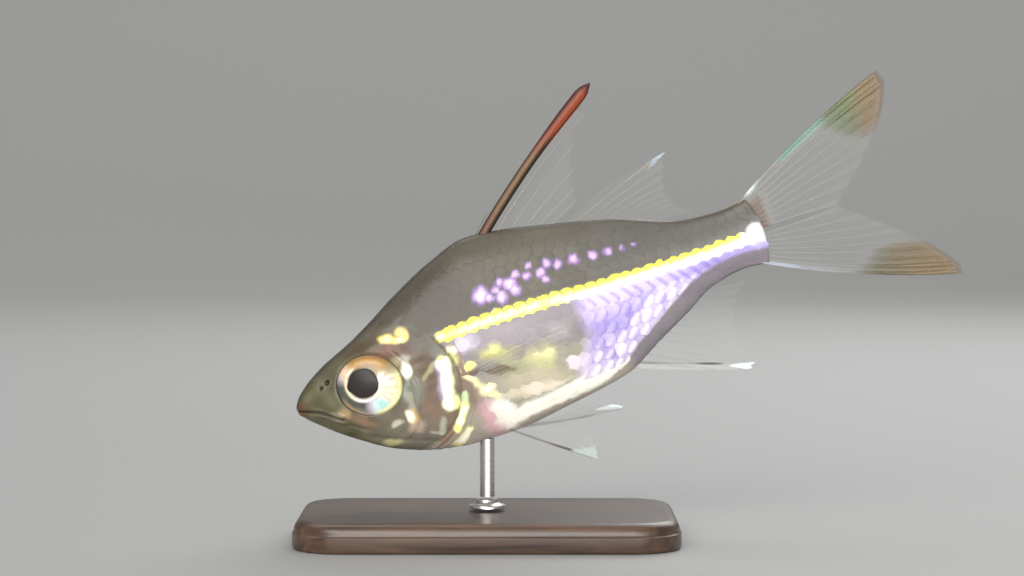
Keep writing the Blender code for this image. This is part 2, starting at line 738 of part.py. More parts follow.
def main():
    for old in list(bpy.data.objects):
        bpy.data.objects.remove(old)

    flesh = material("flesh", (0.30, 0.27, 0.21), 0.35)
    silver = material("gill_cover", (0.78, 0.74, 0.50), 0.22, 0.7)
    eye = material("eye", (0.62, 0.58, 0.42), 0.12)
    web = material("fin_web", (0.62, 0.62, 0.55), 0.3, 0.0, 0.45)
    red_web = material("long_spine_fin", (0.42, 0.16, 0.08), 0.35)
    tail_web = material("tail_fin_web", (0.60, 0.52, 0.30), 0.3, 0.0, 0.5)
    wood = material("stand_wood", (0.07, 0.045, 0.03), 0.4)
    brass = material("stand_metal", (0.75, 0.70, 0.60), 0.3, 1.0)

    lean = math.radians(NOSE_DOWN)
    along, up = (share * LENGTH for share in ROD_UNDER)
    pose = bpy.data.objects.new("fish_pose", None)
    bpy.context.scene.collection.objects.link(pose)
    pose.rotation_euler = (0, -lean, 0)
    pose.location = (
        -(along * math.cos(lean) - up * math.sin(lean)),
        0,
        BELLY_HEIGHT - (along * math.sin(lean) + up * math.cos(lean)),
    )

    clearance = body_shell("body_clearance", pose, grow=GAP, swollen=True)
    flesh_nodes, cutters = head_nodes(pose)
    trunk_and_stalk, more_cutters = trunk_nodes(pose)
    fins = [
        spiny_back_fin(pose, clearance),
        soft_back_fin(pose, clearance),
        anal_fin(pose, clearance),
        tail_lobe("tail_fin_upper", True, pose, clearance),
        tail_lobe("tail_fin_lower", False, pose, clearance),
        *breast_fins(pose, clearance),
        *belly_fins(pose, clearance),
    ]
    for node in fins:
        apply_shape(node)
    base, collar, rod = stand_nodes(clearance)

    for node in flesh_nodes:
        look = silver if node.name.startswith("gill") else eye if node.name.startswith("eye") else flesh
        finish(node, look)
    for node in trunk_and_stalk:
        finish(node, flesh)
    for node in fins:
        look = red_web if "spiny" in node.name else tail_web if "tail" in node.name else web
        finish(node, look, 50.0)
    finish(base, wood, 30.0)
    finish(collar, brass, 30.0)
    finish(rod, brass, 30.0)

    for spare in [clearance, *cutters, *more_cutters]:
        bpy.data.objects.remove(spare)


main()
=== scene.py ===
# The looks of a glass perch, a small see-through fish with a silvery yellow stripe, on its display stand.
# Places on the fish are shares of its standard length: "along" runs from the snout tip to the tail's root,
# and "up" is square to it.

import math

import bmesh
import bpy
import numpy as np
from mathutils import Matrix, Vector


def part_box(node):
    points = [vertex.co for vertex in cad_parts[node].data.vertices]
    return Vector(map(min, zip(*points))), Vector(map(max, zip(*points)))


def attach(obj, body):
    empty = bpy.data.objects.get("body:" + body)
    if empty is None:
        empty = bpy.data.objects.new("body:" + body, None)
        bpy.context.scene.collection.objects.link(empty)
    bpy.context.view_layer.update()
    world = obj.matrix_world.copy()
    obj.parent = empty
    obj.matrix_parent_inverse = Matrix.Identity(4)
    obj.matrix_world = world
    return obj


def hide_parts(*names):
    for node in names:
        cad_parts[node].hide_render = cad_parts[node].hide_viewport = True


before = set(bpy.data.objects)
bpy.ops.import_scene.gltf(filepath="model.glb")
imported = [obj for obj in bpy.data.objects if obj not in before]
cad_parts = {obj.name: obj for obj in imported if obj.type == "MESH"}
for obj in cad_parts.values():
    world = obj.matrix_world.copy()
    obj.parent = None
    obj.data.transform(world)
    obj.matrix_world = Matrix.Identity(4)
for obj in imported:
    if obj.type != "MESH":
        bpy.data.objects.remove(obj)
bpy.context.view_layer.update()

# The fish's size and pose, as the solids have them
LENGTH = 0.06
NOSE_DOWN = math.radians(20.3)
ROD_UNDER = (0.335, -0.19)
BELLY_HEIGHT = 0.0122
COAT_DEPTH = 0.00012  # how far the skin lies inside the solids, under the scales
SHARP_EDGE = math.radians(35)
rng = np.random.default_rng(7)

BACK_LINE = [
    (-0.004, 0.0), (0.0, 0.01), (0.02, 0.031), (0.06, 0.056), (0.15, 0.093), (0.2, 0.117), (0.25, 0.143),
    (0.35, 0.186), (0.43, 0.207), (0.49, 0.2), (0.6, 0.174), (0.72, 0.141), (0.86, 0.088), (0.94, 0.08),
    (1.0, 0.084),
]
BELLY_LINE = [
    (-0.004, -0.008), (0.0, -0.018), (0.02, -0.041), (0.05, -0.07), (0.1, -0.11), (0.16, -0.149),
    (0.24, -0.179), (0.32, -0.193), (0.4, -0.196), (0.52, -0.185), (0.6, -0.1755), (0.655, -0.1645),
    (0.69, -0.148), (0.72, -0.132), (0.8, -0.094), (0.87, -0.06), (0.94, -0.05), (1.0, -0.056),
]
WIDEST_LEVEL = [(-0.004, -0.004), (0.15, -0.014), (0.35, -0.022), (0.6, -0.004), (1.0, 0.012)]
HALF_WIDTH = [
    (-0.004, 0.003), (0.0, 0.012), (0.02, 0.024), (0.06, 0.039), (0.1, 0.049), (0.16, 0.058), (0.24, 0.065),
    (0.32, 0.069), (0.42, 0.067), (0.55, 0.058), (0.68, 0.044), (0.8, 0.03), (0.9, 0.021), (1.0, 0.013),
]
LEAN_ABOVE = [(0.0, 0.8), (0.2, 0.88), (0.45, 1.12), (1.0, 1.0)]
LEAN_BELOW = [(0.0, 0.85), (0.2, 0.88), (0.5, 0.95), (0.7, 1.15), (1.0, 1.0)]
TAIL_ROOT_BULGE = 0.012

# Head, in shares of the length
GILL_OPENING = ((0.198, -0.035), (0.132, 0.128))
CHEEK_EDGE = ((0.165, -0.03), (0.078, 0.106))
EYE_PLACE = (0.1545, -0.005)
EYE_RADIUS = 0.064
EYE_WIDE = 0.05  # how much wider than high the eye is, in the level of the pose
EYE_OUT = 0.00295
EYE_DOME = 0.00115
EYE_FORWARD = math.radians(8)
PUPIL_PLACE = (-0.0082, 0.0094)  # from the eye's middle, in shares of the length
PUPIL_RADIUS = 0.0312
MOUTH_LINE = [(-0.012, -0.003), (0.034, -0.021), (0.078, -0.052)]
NOSTRILS = [(0.06, 0.022, 0.0045), (0.074, 0.029, 0.0056)]

# Colours, linear
OLIVE = (0.138, 0.122, 0.088)
OLIVE_DARK = (0.046, 0.038, 0.026)
SNOUT = (0.108, 0.103, 0.055)
CHEEK = (0.172, 0.146, 0.108)
RED_BROWN = (0.15, 0.055, 0.028)
GOLD = (0.93, 0.66, 0.16)
LEMON = (0.78, 0.74, 0.06)
PEARL = (0.96, 0.95, 0.9)
LILAC = (0.86, 0.72, 0.93)
VIOLET = (0.4, 0.33, 0.74)
ROSE = (0.8, 0.44, 0.5)
SMOKE = (0.23, 0.2, 0.222)
MOSS_GOLD = (0.5, 0.49, 0.15)
MOST_SHINE = 0.6


def smooth_line(points):
    """A function that runs smoothly through (place, value) points and never overshoots them."""
    place, value = np.array(points, float).T
    gap = np.diff(place)
    rise = np.diff(value) / gap
    slope = np.concatenate([rise[:1], np.zeros(len(rise) - 1), rise[-1:]])
    for i in range(1, len(place) - 1):
        if rise[i - 1] * rise[i] > 0:
            before, after = 2 * gap[i] + gap[i - 1], gap[i] + 2 * gap[i - 1]
            slope[i] = (before + after) / (before / rise[i - 1] + after / rise[i])

    def at(where):
        where = np.asarray(where, float)
        i = np.clip(np.searchsorted(place, where) - 1, 0, len(gap) - 1)
        t = np.clip((where - place[i]) / gap[i], 0, 1)
        start = (1 + 2 * t) * (1 - t) ** 2 * value[i] + t * (1 - t) ** 2 * gap[i] * slope[i]
        end = t * t * (3 - 2 * t) * value[i + 1] + t * t * (t - 1) * gap[i] * slope[i + 1]
        return start + end

    return at


back = smooth_line(BACK_LINE)
belly = smooth_line(BELLY_LINE)
widest = smooth_line(WIDEST_LEVEL)
half_width = smooth_line(HALF_WIDTH)
lean_above = smooth_line(LEAN_ABOVE)
lean_below = smooth_line(LEAN_BELOW)
mouth_level = smooth_line(MOUTH_LINE)


def ramp(value, low, high):
    """0 below low, 1 above high, and smooth between."""
    t = np.clip((np.asarray(value, float) - low) / (high - low), 0, 1)
    return t * t * (3 - 2 * t)


def fade(value, low, high):
    """1 below low, 0 above high, and smooth between."""
    return 1 - ramp(value, low, high)


def oval(along, up, centre, reach, lean=0.0, soft=0.3):
    """1 inside an oval spot and 0 outside. lean turns it, in degrees, and soft is the width of its edge."""
    a, b = along - centre[0], up - centre[1]
    turn = math.radians(lean)
    x = (a * math.cos(turn) + b * math.sin(turn)) / reach[0]
    y = (b * math.cos(turn) - a * math.sin(turn)) / reach[1]
    return 1 - ramp(np.hypot(x, y), 1 - soft, 1 + soft)


def streak(along, up, line, width, soft=0.4):
    """1 along a line of points and 0 away from it. width is its half width."""
    nearest = np.full(np.shape(along), 9.0)
    for (a0, b0), (a1, b1) in zip(line, line[1:]):
        run, rise = a1 - a0, b1 - b0
        t = np.clip(((along - a0) * run + (up - b0) * rise) / (run * run + rise * rise), 0, 1)
        nearest = np.minimum(nearest, np.hypot(along - a0 - t * run, up - b0 - t * rise))
    return 1 - ramp(nearest / width, 1 - soft, 1 + soft)


def mix(base, colour, share):
    return base + (np.array(colour) - base) * np.asarray(share)[..., None]


def one_colour(colour, places):
    """The same colour at every place."""
    return np.zeros(np.shape(places) + (3,)) + colour


class Coat:
    """The colour, shine and cover of many places. Marks are laid on it one by one."""

    def __init__(self, colour, places, shine=0.0, cover=0.0):
        self.colour = one_colour(colour, places)
        self.shine = np.zeros(np.shape(places)) + shine
        self.cover = np.zeros(np.shape(places)) + cover

    def lay(self, tint, mask):
        self.colour = mix(self.colour, tint, mask)

    def add(self, mask, shine=0.0, cover=0.0):
        """More shine and more cover on a mask."""
        self.shine = self.shine + shine * mask
        self.cover = self.cover + cover * mask

    def held_shine(self, share):
        return share * np.clip(self.shine, 0, MOST_SHINE)


def ripple(along, up, scale, seed):
    """A smooth irregular pattern between -1 and 1, the same on each run."""
    turns = np.random.default_rng(seed).uniform(0, 2 * math.pi, (6, 2))
    total = 0
    for k, (way, shift) in enumerate(turns):
        size = scale * (0.7 + 0.25 * k)
        total = total + np.sin((along * math.cos(way) + up * math.sin(way)) * 2 * math.pi / size + shift)
    return total / 3.2


def ragged(along, up, size, scale, seed):
    """Places shifted a little by a smooth irregular pattern, which gives spots uneven edges."""
    return along + size * ripple(along, up, scale, seed), up + size * ripple(along, up, scale, seed + 1)


def gill_radius(along, up, ellipse):
    (middle_along, middle_up), (reach_along, reach_up) = ellipse
    return np.hypot((along - middle_along) / reach_along, (up - middle_up) / reach_up)


def eye_shape(turn):
    """How far the eye reaches at a turn round its middle, as a share of EYE_RADIUS."""
    return 1 + EYE_WIDE * np.cos(2 * (turn + NOSE_DOWN))


def from_eye(along, up):
    """How far places lie from the eye's middle, measured as if the eye were round."""
    a, b = along - EYE_PLACE[0], up - EYE_PLACE[1]
    return np.hypot(a, b) / eye_shape(np.arctan2(b, a))


# The markings of the coat and the skin under it

RISE = 0.004  # how far up the flank's markings are moved, as the camera looks down on them
STRIPE_MIDDLE = smooth_line([
    (0.0, 0.034), (0.31, 0.034), (0.45, 0.031), (0.56, 0.025), (0.65, 0.016), (0.75, 0.01), (0.86, 0.005),
    (1.02, 0.003),
])
STRIPE_HALF = smooth_line([
    (0.3, 0.006), (0.33, 0.0115), (0.4, 0.015), (0.52, 0.016), (0.65, 0.015), (0.86, 0.012), (1.02, 0.012),
])
VIOLET_FOOT = smooth_line([
    (0.56, -0.15), (0.64, -0.146), (0.68, -0.121), (0.72, -0.099), (0.78, -0.064), (0.86, -0.028),
    (0.93, -0.02), (1.02, -0.028),
])
# Painted glints: each lilac spot is the reflection of one scale, given as along, up and size.
LILAC_SCALE_GLINTS = [
    (0.424, 0.083, 0.0165), (0.438, 0.072, 0.0085), (0.462, 0.066, 0.012), (0.455, 0.083, 0.0075),
    (0.468, 0.094, 0.009), (0.486, 0.085, 0.013), (0.492, 0.07, 0.011), (0.503, 0.098, 0.008),
    (0.522, 0.088, 0.009), (0.534, 0.104, 0.006), (0.551, 0.084, 0.0105), (0.556, 0.069, 0.007),
    (0.569, 0.097, 0.009), (0.588, 0.088, 0.0095), (0.622, 0.085, 0.0105), (0.66, 0.08, 0.0088),
    (0.692, 0.076, 0.008), (0.72, 0.073, 0.0052), (0.745, 0.071, 0.0046), (0.44, 0.046, 0.005),
]


def stripe_share(along, up):
    """1 on the bright stripe from the gill cover to the tail."""
    off = np.abs(up - STRIPE_MIDDLE(along)) / STRIPE_HALF(along)
    return ramp(along, 0.306, 0.318) * fade(off, 0.92, 1.06)


def flank_share(along, up):
    """1 on the violet and white part of the flank under the stripe."""
    low = VIOLET_FOOT(along)
    stripe_foot = STRIPE_MIDDLE(along) - STRIPE_HALF(along)
    under = fade(up, stripe_foot - 0.002, stripe_foot + 0.004)
    front = 0.612 - 0.6 * np.maximum(STRIPE_MIDDLE(along) - up - 0.088, 0)
    return ramp(along, front - 0.03, front + 0.022) * under * ramp(up, low - 0.003, low + 0.003)


def belly_band(along, up):
    """1 on the white line of the belly, which lies a little above its clear lower edge."""
    wavy_along, wavy_up = ragged(along, up, 0.0012, 0.03, 51)
    front = [(0.402, -0.171), (0.437, -0.164), (0.481, -0.163), (0.526, -0.159)]
    rear = [(0.526, -0.159), (0.565, -0.156), (0.601, -0.15), (0.628, -0.145), (0.652, -0.139)]
    thin = streak(wavy_along, wavy_up, front, 0.014, 0.25)
    wide = 0.0165 - 0.0085 * ramp(along, 0.585, 0.65)
    return np.maximum(thin, streak(wavy_along, wavy_up, rear, wide, 0.25))


def lay_back(coat, along, up):
    """The olive back, darker along its edge and just above the stripe."""
    coat.lay(OLIVE_DARK, 0.2 + 0.14 * ripple(along, up, 0.11, 3))
    coat.lay((0.118, 0.112, 0.104), 0.75 * ramp(along, 0.45, 0.75))
    from_back = back(along) - up - RISE
    dark_rim = fade(from_back, 0.002, 0.02 - 0.008 * ramp(along, 0.4, 0.7))
    coat.lay(OLIVE_DARK, 0.8 * dark_rim)
    coat.lay((0.066, 0.058, 0.046), 0.9 * oval(along, up, (0.33, 0.115), (0.115, 0.085), 20, 0.8))
    over_stripe = [(0.33, 0.056), (0.5, 0.053), (0.62, 0.04), (0.8, 0.025)]
    coat.lay((0.066, 0.055, 0.036), 0.55 * streak(along, up, over_stripe, 0.006, 0.8))


def lay_insides(coat, along, up):
    """What shows through the clear flesh under the stripe, as a haze of soft spots."""
    middle = STRIPE_MIDDLE(along)
    below = fade(up, middle - 0.014, middle - 0.004)
    coat.lay(SMOKE, below * 0.9)
    soft_along, soft_up = ragged(along, up, 0.006, 0.04, 61)
    coat.lay((0.37, 0.345, 0.26), 0.85 * below * ramp(-up, 0.045, 0.085))
    mauve = oval(soft_along, soft_up, (0.46, -0.01), (0.13, 0.026), -8, 0.5)
    coat.lay((0.31, 0.27, 0.285), below * mauve * 0.8)
    for centre, reach, lean, tint, strength in (
        ((0.366, 0.0), (0.017, 0.014), 0, (0.6, 0.52, 0.66), 0.8),
        ((0.418, -0.036), (0.036, 0.016), -10, MOSS_GOLD, 0.75),
        ((0.414, -0.028), (0.014, 0.007), -10, (0.74, 0.7, 0.26), 0.6),
        ((0.45, -0.072), (0.045, 0.018), -14, (0.42, 0.42, 0.22), 0.7),
        ((0.5, -0.074), (0.03, 0.026), -10, (0.66, 0.63, 0.28), 0.7),
        ((0.508, -0.07), (0.017, 0.012), -10, (0.93, 0.9, 0.44), 0.75),
        ((0.48, -0.114), (0.06, 0.02), -12, (0.6, 0.54, 0.37), 0.8),
        ((0.43, -0.128), (0.026, 0.008), -12, (0.78, 0.67, 0.48), 0.7),
        ((0.485, -0.13), (0.046, 0.006), -12, (0.95, 0.84, 0.68), 0.75),
        ((0.562, -0.108), (0.02, 0.016), -10, (0.86, 0.74, 0.8), 0.85),
        ((0.548, -0.04), (0.026, 0.018), -10, (0.38, 0.35, 0.33), 0.6),
    ):
        mask = strength * oval(soft_along, soft_up, centre, reach, lean, 0.6)
        coat.lay(tint, mask)
        coat.add(mask, 0.2)
    gape = streak(soft_along, soft_up, [(0.35, -0.05), (0.385, -0.062), (0.43, -0.07)], 0.006, 0.7)
    coat.lay((0.1, 0.055, 0.03), gape * 0.8)
    coat.lay((0.2, 0.125, 0.09), 0.7 * oval(along, up, (0.338, -0.075), (0.02, 0.055), 5, 0.5))


def lay_flank(coat, along, up):
    """The violet flank under the stripe, and the grey skin and dark fin base under it."""
    from_belly = up + RISE - belly(along)
    flank = flank_share(along, up)
    tone = 0.5 + 0.5 * ripple(along, up, 0.045, 11)
    purple = mix(one_colour(VIOLET, along), LILAC, 0.2 + 0.45 * tone)
    near_stripe = ramp(up - STRIPE_MIDDLE(along), -0.032, -0.018)
    deeper = np.clip(0.85 * near_stripe + 0.9 * ramp(along, 0.78, 0.88), 0, 1)
    purple = mix(purple, (0.42, 0.33, 0.64), deeper)
    coat.lay(purple, flank)
    coat.add(flank, 0.4)
    under = ramp(along, 0.63, 0.68) * fade(up, VIOLET_FOOT(along) - 0.006, VIOLET_FOOT(along))
    coat.lay((0.21, 0.185, 0.21), under * 0.9)
    dark_base = ramp(along, 0.66, 0.7) * fade(from_belly, 0.0005, 0.007)
    coat.lay((0.03, 0.025, 0.024), dark_base * 0.85)


def lay_belly(coat, along, up):
    """The white line and the rose and cream marks of the belly, over its clear lower edge."""
    from_belly = up + RISE - belly(along)
    band = belly_band(along, up)
    patch_along, patch_up = ragged(along, up, 0.004, 0.03, 71)
    bright = oval(patch_along, patch_up, (0.39, -0.156), (0.025, 0.035), 10, 0.3)
    pale = np.maximum(band, bright)
    edge = fade(from_belly, 0.012, 0.024) * fade(along, 0.63, 0.68)
    coat.lay((0.4, 0.35, 0.3), 0.85 * edge)
    hem = np.exp(-(((from_belly - 0.0055) / 0.0022) ** 2)) * ramp(along, 0.27, 0.31)
    coat.lay((0.72, 0.52, 0.54), 0.6 * hem * fade(along, 0.38, 0.42))
    coat.lay((0.99, 0.965, 0.83), pale)
    coat.add(pale, 0.2)
    rose = oval(patch_along, patch_up, (0.364, -0.154), (0.019, 0.034), 10, 0.8)
    coat.lay(ROSE, rose * 0.8 * (1 - 0.6 * bright))
    cream = np.maximum(
        streak(patch_along, patch_up, [(0.35, -0.063), (0.366, -0.088), (0.386, -0.113)], 0.008, 0.4),
        oval(patch_along, patch_up, (0.374, -0.095), (0.015, 0.01), -24, 0.4),
    )
    coat.lay((0.96, 0.82, 0.44), cream)
    cream_core = oval(patch_along, patch_up, (0.375, -0.096), (0.0105, 0.0062), -24, 0.6)
    coat.lay((0.99, 0.97, 0.74), cream_core)
    flecks = np.maximum(
        oval(patch_along, patch_up, (0.339, -0.027), (0.007, 0.007), 0, 0.4),
        oval(patch_along, patch_up, (0.356, -0.041), (0.014, 0.007), 22, 0.4),
    )
    coat.lay((0.96, 0.9, 0.26), flecks)
    mark = np.maximum(cream, np.maximum(flecks, rose))
    coat.add(mark, 0.2)


def lay_stripe(coat, along, up):
    """The silvery yellow stripe, white towards its end, and the white spot at the tail's root."""
    stripe = stripe_share(along, up)
    depth = (STRIPE_MIDDLE(along) - up) / STRIPE_HALF(along)
    lemon = one_colour(LEMON, along)
    lemon = mix(lemon, (0.99, 0.97, 0.66), 0.85 * fade(np.abs(depth), 0.1, 0.7))
    lemon = mix(lemon, PEARL, ramp(depth, -0.15, 0.45) * ramp(along, 0.56, 0.66))
    coat.lay(lemon, stripe)
    coat.add(stripe, 0.3)
    root = oval(along, up, (0.984, 0.003), (0.021, 0.024), 0, 0.25)
    coat.lay((0.98, 0.95, 0.96), root)
    coat.add(root, 0.2)


def lay_lilac_glints(coat, along, up):
    """Painted glints: the row of lilac spots above the stripe, each the reflection of one scale, with a
    darker rim.
    """
    glint_places = ragged(along, up, 0.0022, 0.018, 81)
    for glint_along, glint_up, size in LILAC_SCALE_GLINTS:
        ring = oval(*glint_places, (glint_along, glint_up), (size * 1.12, size * 1.12), 30, 0.28)
        core = oval(*glint_places, (glint_along, glint_up), (size * 0.72, size * 0.68), 30, 0.55)
        pink = np.array((0.78, 0.55, 0.74)) * (0.52 + 0.48 * size / 0.0165)
        coat.lay((0.25, 0.15, 0.4), ring * 0.9)
        coat.lay(pink, core)
        coat.add(ring, 0.25)


def body_colours(along, up):
    """Colour and shine of the flanks behind the head, with the rise of the markings taken off up."""
    coat = Coat(OLIVE, along)
    for lay_part in (lay_back, lay_insides, lay_flank, lay_belly, lay_stripe, lay_lilac_glints):
        lay_part(coat, along, up)
    return coat.colour, coat.held_shine(0.35)


def head_colours(along, up):
    """Colour and shine of the head in front of the gill opening."""
    coat = Coat(OLIVE, along, shine=0.05)
    coat.lay(SNOUT, fade(along, 0.1, 0.24))
    coat.lay(CHEEK, 0.85 * ramp(0.03 - up, 0.0, 0.06) * ramp(along, 0.08, 0.22))
    mottle = ripple(along, up, 0.045, 5)
    coat.lay(OLIVE_DARK, 0.32 * ramp(mottle, -0.1, 0.9))
    coat.lay((0.2, 0.185, 0.125), 0.35 * ramp(-mottle, 0.0, 0.9))
    coat.lay(OLIVE_DARK, 0.7 * fade(back(along) - up, 0.001, 0.024))
    coat.lay((0.18, 0.165, 0.125), 0.7 * ramp(-up, 0.06, 0.12) * ramp(along, 0.05, 0.15))
    coat.lay((0.11, 0.05, 0.03), 0.8 * oval(along, up, (0.004, -0.008), (0.018, 0.016), 0, 0.7))
    along, up = ragged(along, up, 0.0024, 0.022, 41)

    def patch(tint, mask, gloss):
        coat.lay(tint, mask)
        coat.add(mask, gloss)

    def spots(*rows):
        """Oval spots from rows of tint, strength, middle, reach, lean, softness of the edge, and gloss."""
        for tint, strength, middle, reach, lean, soft, gloss in rows:
            patch(tint, strength * oval(along, up, middle, reach, lean, soft), gloss)

    spots(
        (RED_BROWN, 0.8, (0.214, 0.047), (0.04, 0.017), -12, 0.7, 0.0),
        ((0.15, 0.085, 0.055), 0.55, (0.262, 0.01), (0.026, 0.07), 8, 0.7, 0.0),
        ((0.24, 0.15, 0.11), 0.6, (0.262, -0.095), (0.03, 0.045), 20, 0.7, 0.0),
        ((0.19, 0.125, 0.085), 0.45, (0.112, -0.066), (0.036, 0.013), -38, 0.7, 0.0),
        ((0.07, 0.048, 0.022), 0.75, (0.165, 0.07), (0.06, 0.012), 4, 0.7, 0.0),
        ((0.068, 0.06, 0.042), 0.85, (0.283, 0.082), (0.045, 0.055), 10, 0.7, 0.0),
        ((0.56, 0.38, 0.18), 0.6, (0.0885, -0.04), (0.011, 0.0075), -55, 0.8, 0.1),
        ((0.38, 0.22, 0.13), 0.45, (0.117, -0.068), (0.024, 0.0065), -36, 0.8, 0.1),
        (GOLD, 1, (0.217, 0.07), (0.016, 0.0085), -14, 0.4, 0.2),
        ((0.99, 0.92, 0.42), 0.9, (0.216, 0.069), (0.0105, 0.0052), -14, 0.5, 0.1),
        (GOLD, 1, (0.25, 0.068), (0.0125, 0.0145), 10, 0.4, 0.2),
        (GOLD, 1, (0.236, 0.06), (0.013, 0.006), -18, 0.4, 0.2),
        ((0.99, 0.92, 0.42), 0.9, (0.242, 0.059), (0.012, 0.0052), -16, 0.5, 0.1),
        ((0.97, 0.8, 0.34), 0.8, (0.25, 0.074), (0.008, 0.009), 10, 0.6, 0.0),
        ((0.55, 0.3, 0.09), 0.7, (0.2385, 0.069), (0.0045, 0.0045), 10, 0.6, 0.0),
        ((0.5, 0.42, 0.24), 0.7, (0.219, 0.02), (0.008, 0.012), 0, 0.6, 0.2),
        ((0.46, 0.43, 0.34), 0.7, (0.236, 0.022), (0.012, 0.007), 0, 0.6, 0.2),
        ((0.93, 0.9, 0.66), 1, (0.2335, -0.002), (0.011, 0.0175), -6, 0.35, 0.2),
        (PEARL, 1, (0.234, -0.003), (0.0078, 0.0135), -6, 0.5, 0.1),
    )
    patch((0.56, 0.52, 0.4), 0.6 * streak(along, up, [(0.223, -0.048), (0.218, -0.078)], 0.005, 0.5), 0.2)
    patch((0.52, 0.5, 0.26), 0.6 * streak(along, up, [(0.262, -0.028), (0.289, -0.008)], 0.005, 0.6), 0.2)
    spots(
        ((0.25, 0.29, 0.23), 0.5, (0.232, -0.048), (0.02, 0.028), -20, 0.6, 0.15),
        ((0.46, 0.5, 0.42), 0.55, (0.216, -0.04), (0.006, 0.016), -10, 0.6, 0.2),
        ((0.84, 0.55, 0.24), 0.7, (0.213, -0.093), (0.012, 0.015), 10, 0.5, 0.3),
        ((0.97, 0.94, 0.74), 1, (0.209, -0.091), (0.0082, 0.0122), 10, 0.35, 0.2),
        ((0.7, 0.66, 0.5), 0.75, (0.178, -0.095), (0.0125, 0.0055), 14, 0.5, 0.3),
        ((0.56, 0.52, 0.26), 0.7, (0.158, -0.13), (0.021, 0.007), -10, 0.5, 0.3),
        ((0.56, 0.4, 0.33), 0.55, (0.213, -0.116), (0.015, 0.011), 0, 0.6, 0.2),
    )
    bar = [(0.308, -0.012), (0.305, -0.043), (0.296, -0.074), (0.29, -0.096)]
    patch((0.56, 0.46, 0.74), 0.7 * streak(along, up, [(a - 0.0045, u) for a, u in bar[:3]], 0.0135, 0.4),
          0.2)
    patch((0.93, 0.9, 0.4), streak(along, up, [*bar, (0.304, -0.093)], 0.0125, 0.3), 0.2)
    patch((0.99, 0.98, 0.9), streak(along, up, [(a - 0.001, u) for a, u in bar], 0.0098, 0.5), 0.1)
    patch((0.92, 0.84, 0.18), 0.8 * oval(along, up, (0.307, -0.002), (0.007, 0.006), 0, 0.5), 0.1)
    patch((0.52, 0.56, 0.42), 0.6 * streak(along, up, [(0.27, -0.118), (0.258, -0.142)], 0.006, 0.6), 0.3)
    patch((0.66, 0.62, 0.52), 0.5 * streak(along, up, [(0.238, -0.134), (0.262, -0.148)], 0.0022, 0.7), 0.3)
    return coat.colour, coat.held_shine(0.25)


def throat_colours(along, up):
    """Colour, shine and bright bars of the membranes just behind and under the gill cover."""
    coat = Coat((0.26, 0.18, 0.13), along, shine=0.05)
    along, up = ragged(along, up, 0.0018, 0.022, 45)
    bars = 0 * along
    for line, tint, width in (
        ([(0.3265, -0.086), (0.32, -0.104)], (0.6, 0.8, 0.42), 0.0065),
        ([(0.318, -0.108), (0.306, -0.128), (0.2877, -0.148)], (1.0, 0.92, 0.34), 0.0082),
        ([(0.316, -0.112), (0.296, -0.139)], (1.0, 1.0, 0.8), 0.0055),
        ([(0.3135, -0.155), (0.2945, -0.168), (0.2754, -0.1815)], (1.0, 0.9, 0.36), 0.008),
        ([(0.31, -0.1575), (0.284, -0.175)], (1.0, 1.0, 0.8), 0.0052),
        ([(0.3282, 0.0078), (0.335, 0.004)], (0.86, 0.8, 0.5), 0.008),
        ([(0.325, -0.006), (0.329, -0.016)], (0.5, 0.5, 0.18), 0.01),
    ):
        mask = streak(along, up, line, width, 0.35)
        coat.lay(tint, mask)
        coat.add(mask, 0.15)
        bars = np.maximum(bars, mask)
    return coat.colour, coat.held_shine(0.35), bars


def skin_colours(along, up):
    """Colour and shine anywhere on the skin."""
    head, head_shine = head_colours(along, up)
    body, body_shine = body_colours(along, up - RISE)
    throat, throat_shine, bars = throat_colours(along, up)
    radius = gill_radius(along, up, GILL_OPENING)
    behind = ramp(radius, 0.99, 1.005) * ramp(along, 0.2, 0.24)
    high = ramp(up, 0.03, 0.07)
    behind = behind + (ramp(radius + 0.02 * ripple(along, up, 0.05, 91), 0.9, 1.1) - behind) * high
    low = ramp(-up, -0.03, 0.0) * ramp(along, 0.22, 0.26)
    band = fade(radius, 1.1, 1.18) * low
    colour = head + (body - head) * behind[..., None]
    shine = head_shine + (body_shine - head_shine) * behind
    share = np.maximum(behind * band, bars * ramp(radius, 0.99, 1.01))
    colour = mix(colour, throat, share)
    return colour, shine + (throat_shine - shine) * share


# The body's surface

def skin_place(along, turn, side, inset=COAT_DEPTH):
    """Points of the body in metres, in the fish's frame. turn runs from the belly, -90, to the back, 90."""
    level = widest(along) * LENGTH
    top, bottom = back(along) * LENGTH - inset, belly(along) * LENGTH + inset
    rise, spread = np.sin(turn), np.maximum(np.cos(turn), 0)
    reach = np.where(rise > 0, top - level, level - bottom)
    up = level + rise * reach
    lean = np.where(rise > 0, lean_above(along), lean_below(along))
    out = spread**lean * np.maximum(half_width(along) * LENGTH - inset, 0.0001)
    setback = TAIL_ROOT_BULGE * LENGTH * rise**2 * ramp(along, 0.9, 1.0)
    return np.stack([along * LENGTH - setback, side * out, up], axis=-1)


def skin_normal(along, turn, side, step, swing):
    """The outward direction, square to the body as it runs over a step along and a swing of the turn."""
    run = skin_place(along + step, turn, side) - skin_place(along - step, turn, side)
    rise = skin_place(along, turn + swing, side) - skin_place(along, turn - swing, side)
    normal = np.cross(run, rise)
    normal = normal / np.maximum(np.linalg.norm(normal, axis=-1, keepdims=True), 1e-12)
    outward = np.stack([0 * turn, side * np.cos(turn), np.sin(turn)], -1)
    return normal * np.sign(np.sum(normal * outward, -1, keepdims=True))


def side_of_body(along, up):
    """Half the body's width at a place seen from the side, in metres."""
    level = widest(along)
    above = up > level
    edge = np.where(above, back(along), belly(along))
    height = np.minimum(0.999, np.abs((up - level) / (edge - level)))
    lean = np.where(above, lean_above(along), lean_below(along))
    return half_width(along) * LENGTH * np.sqrt(1 - height * height) ** lean


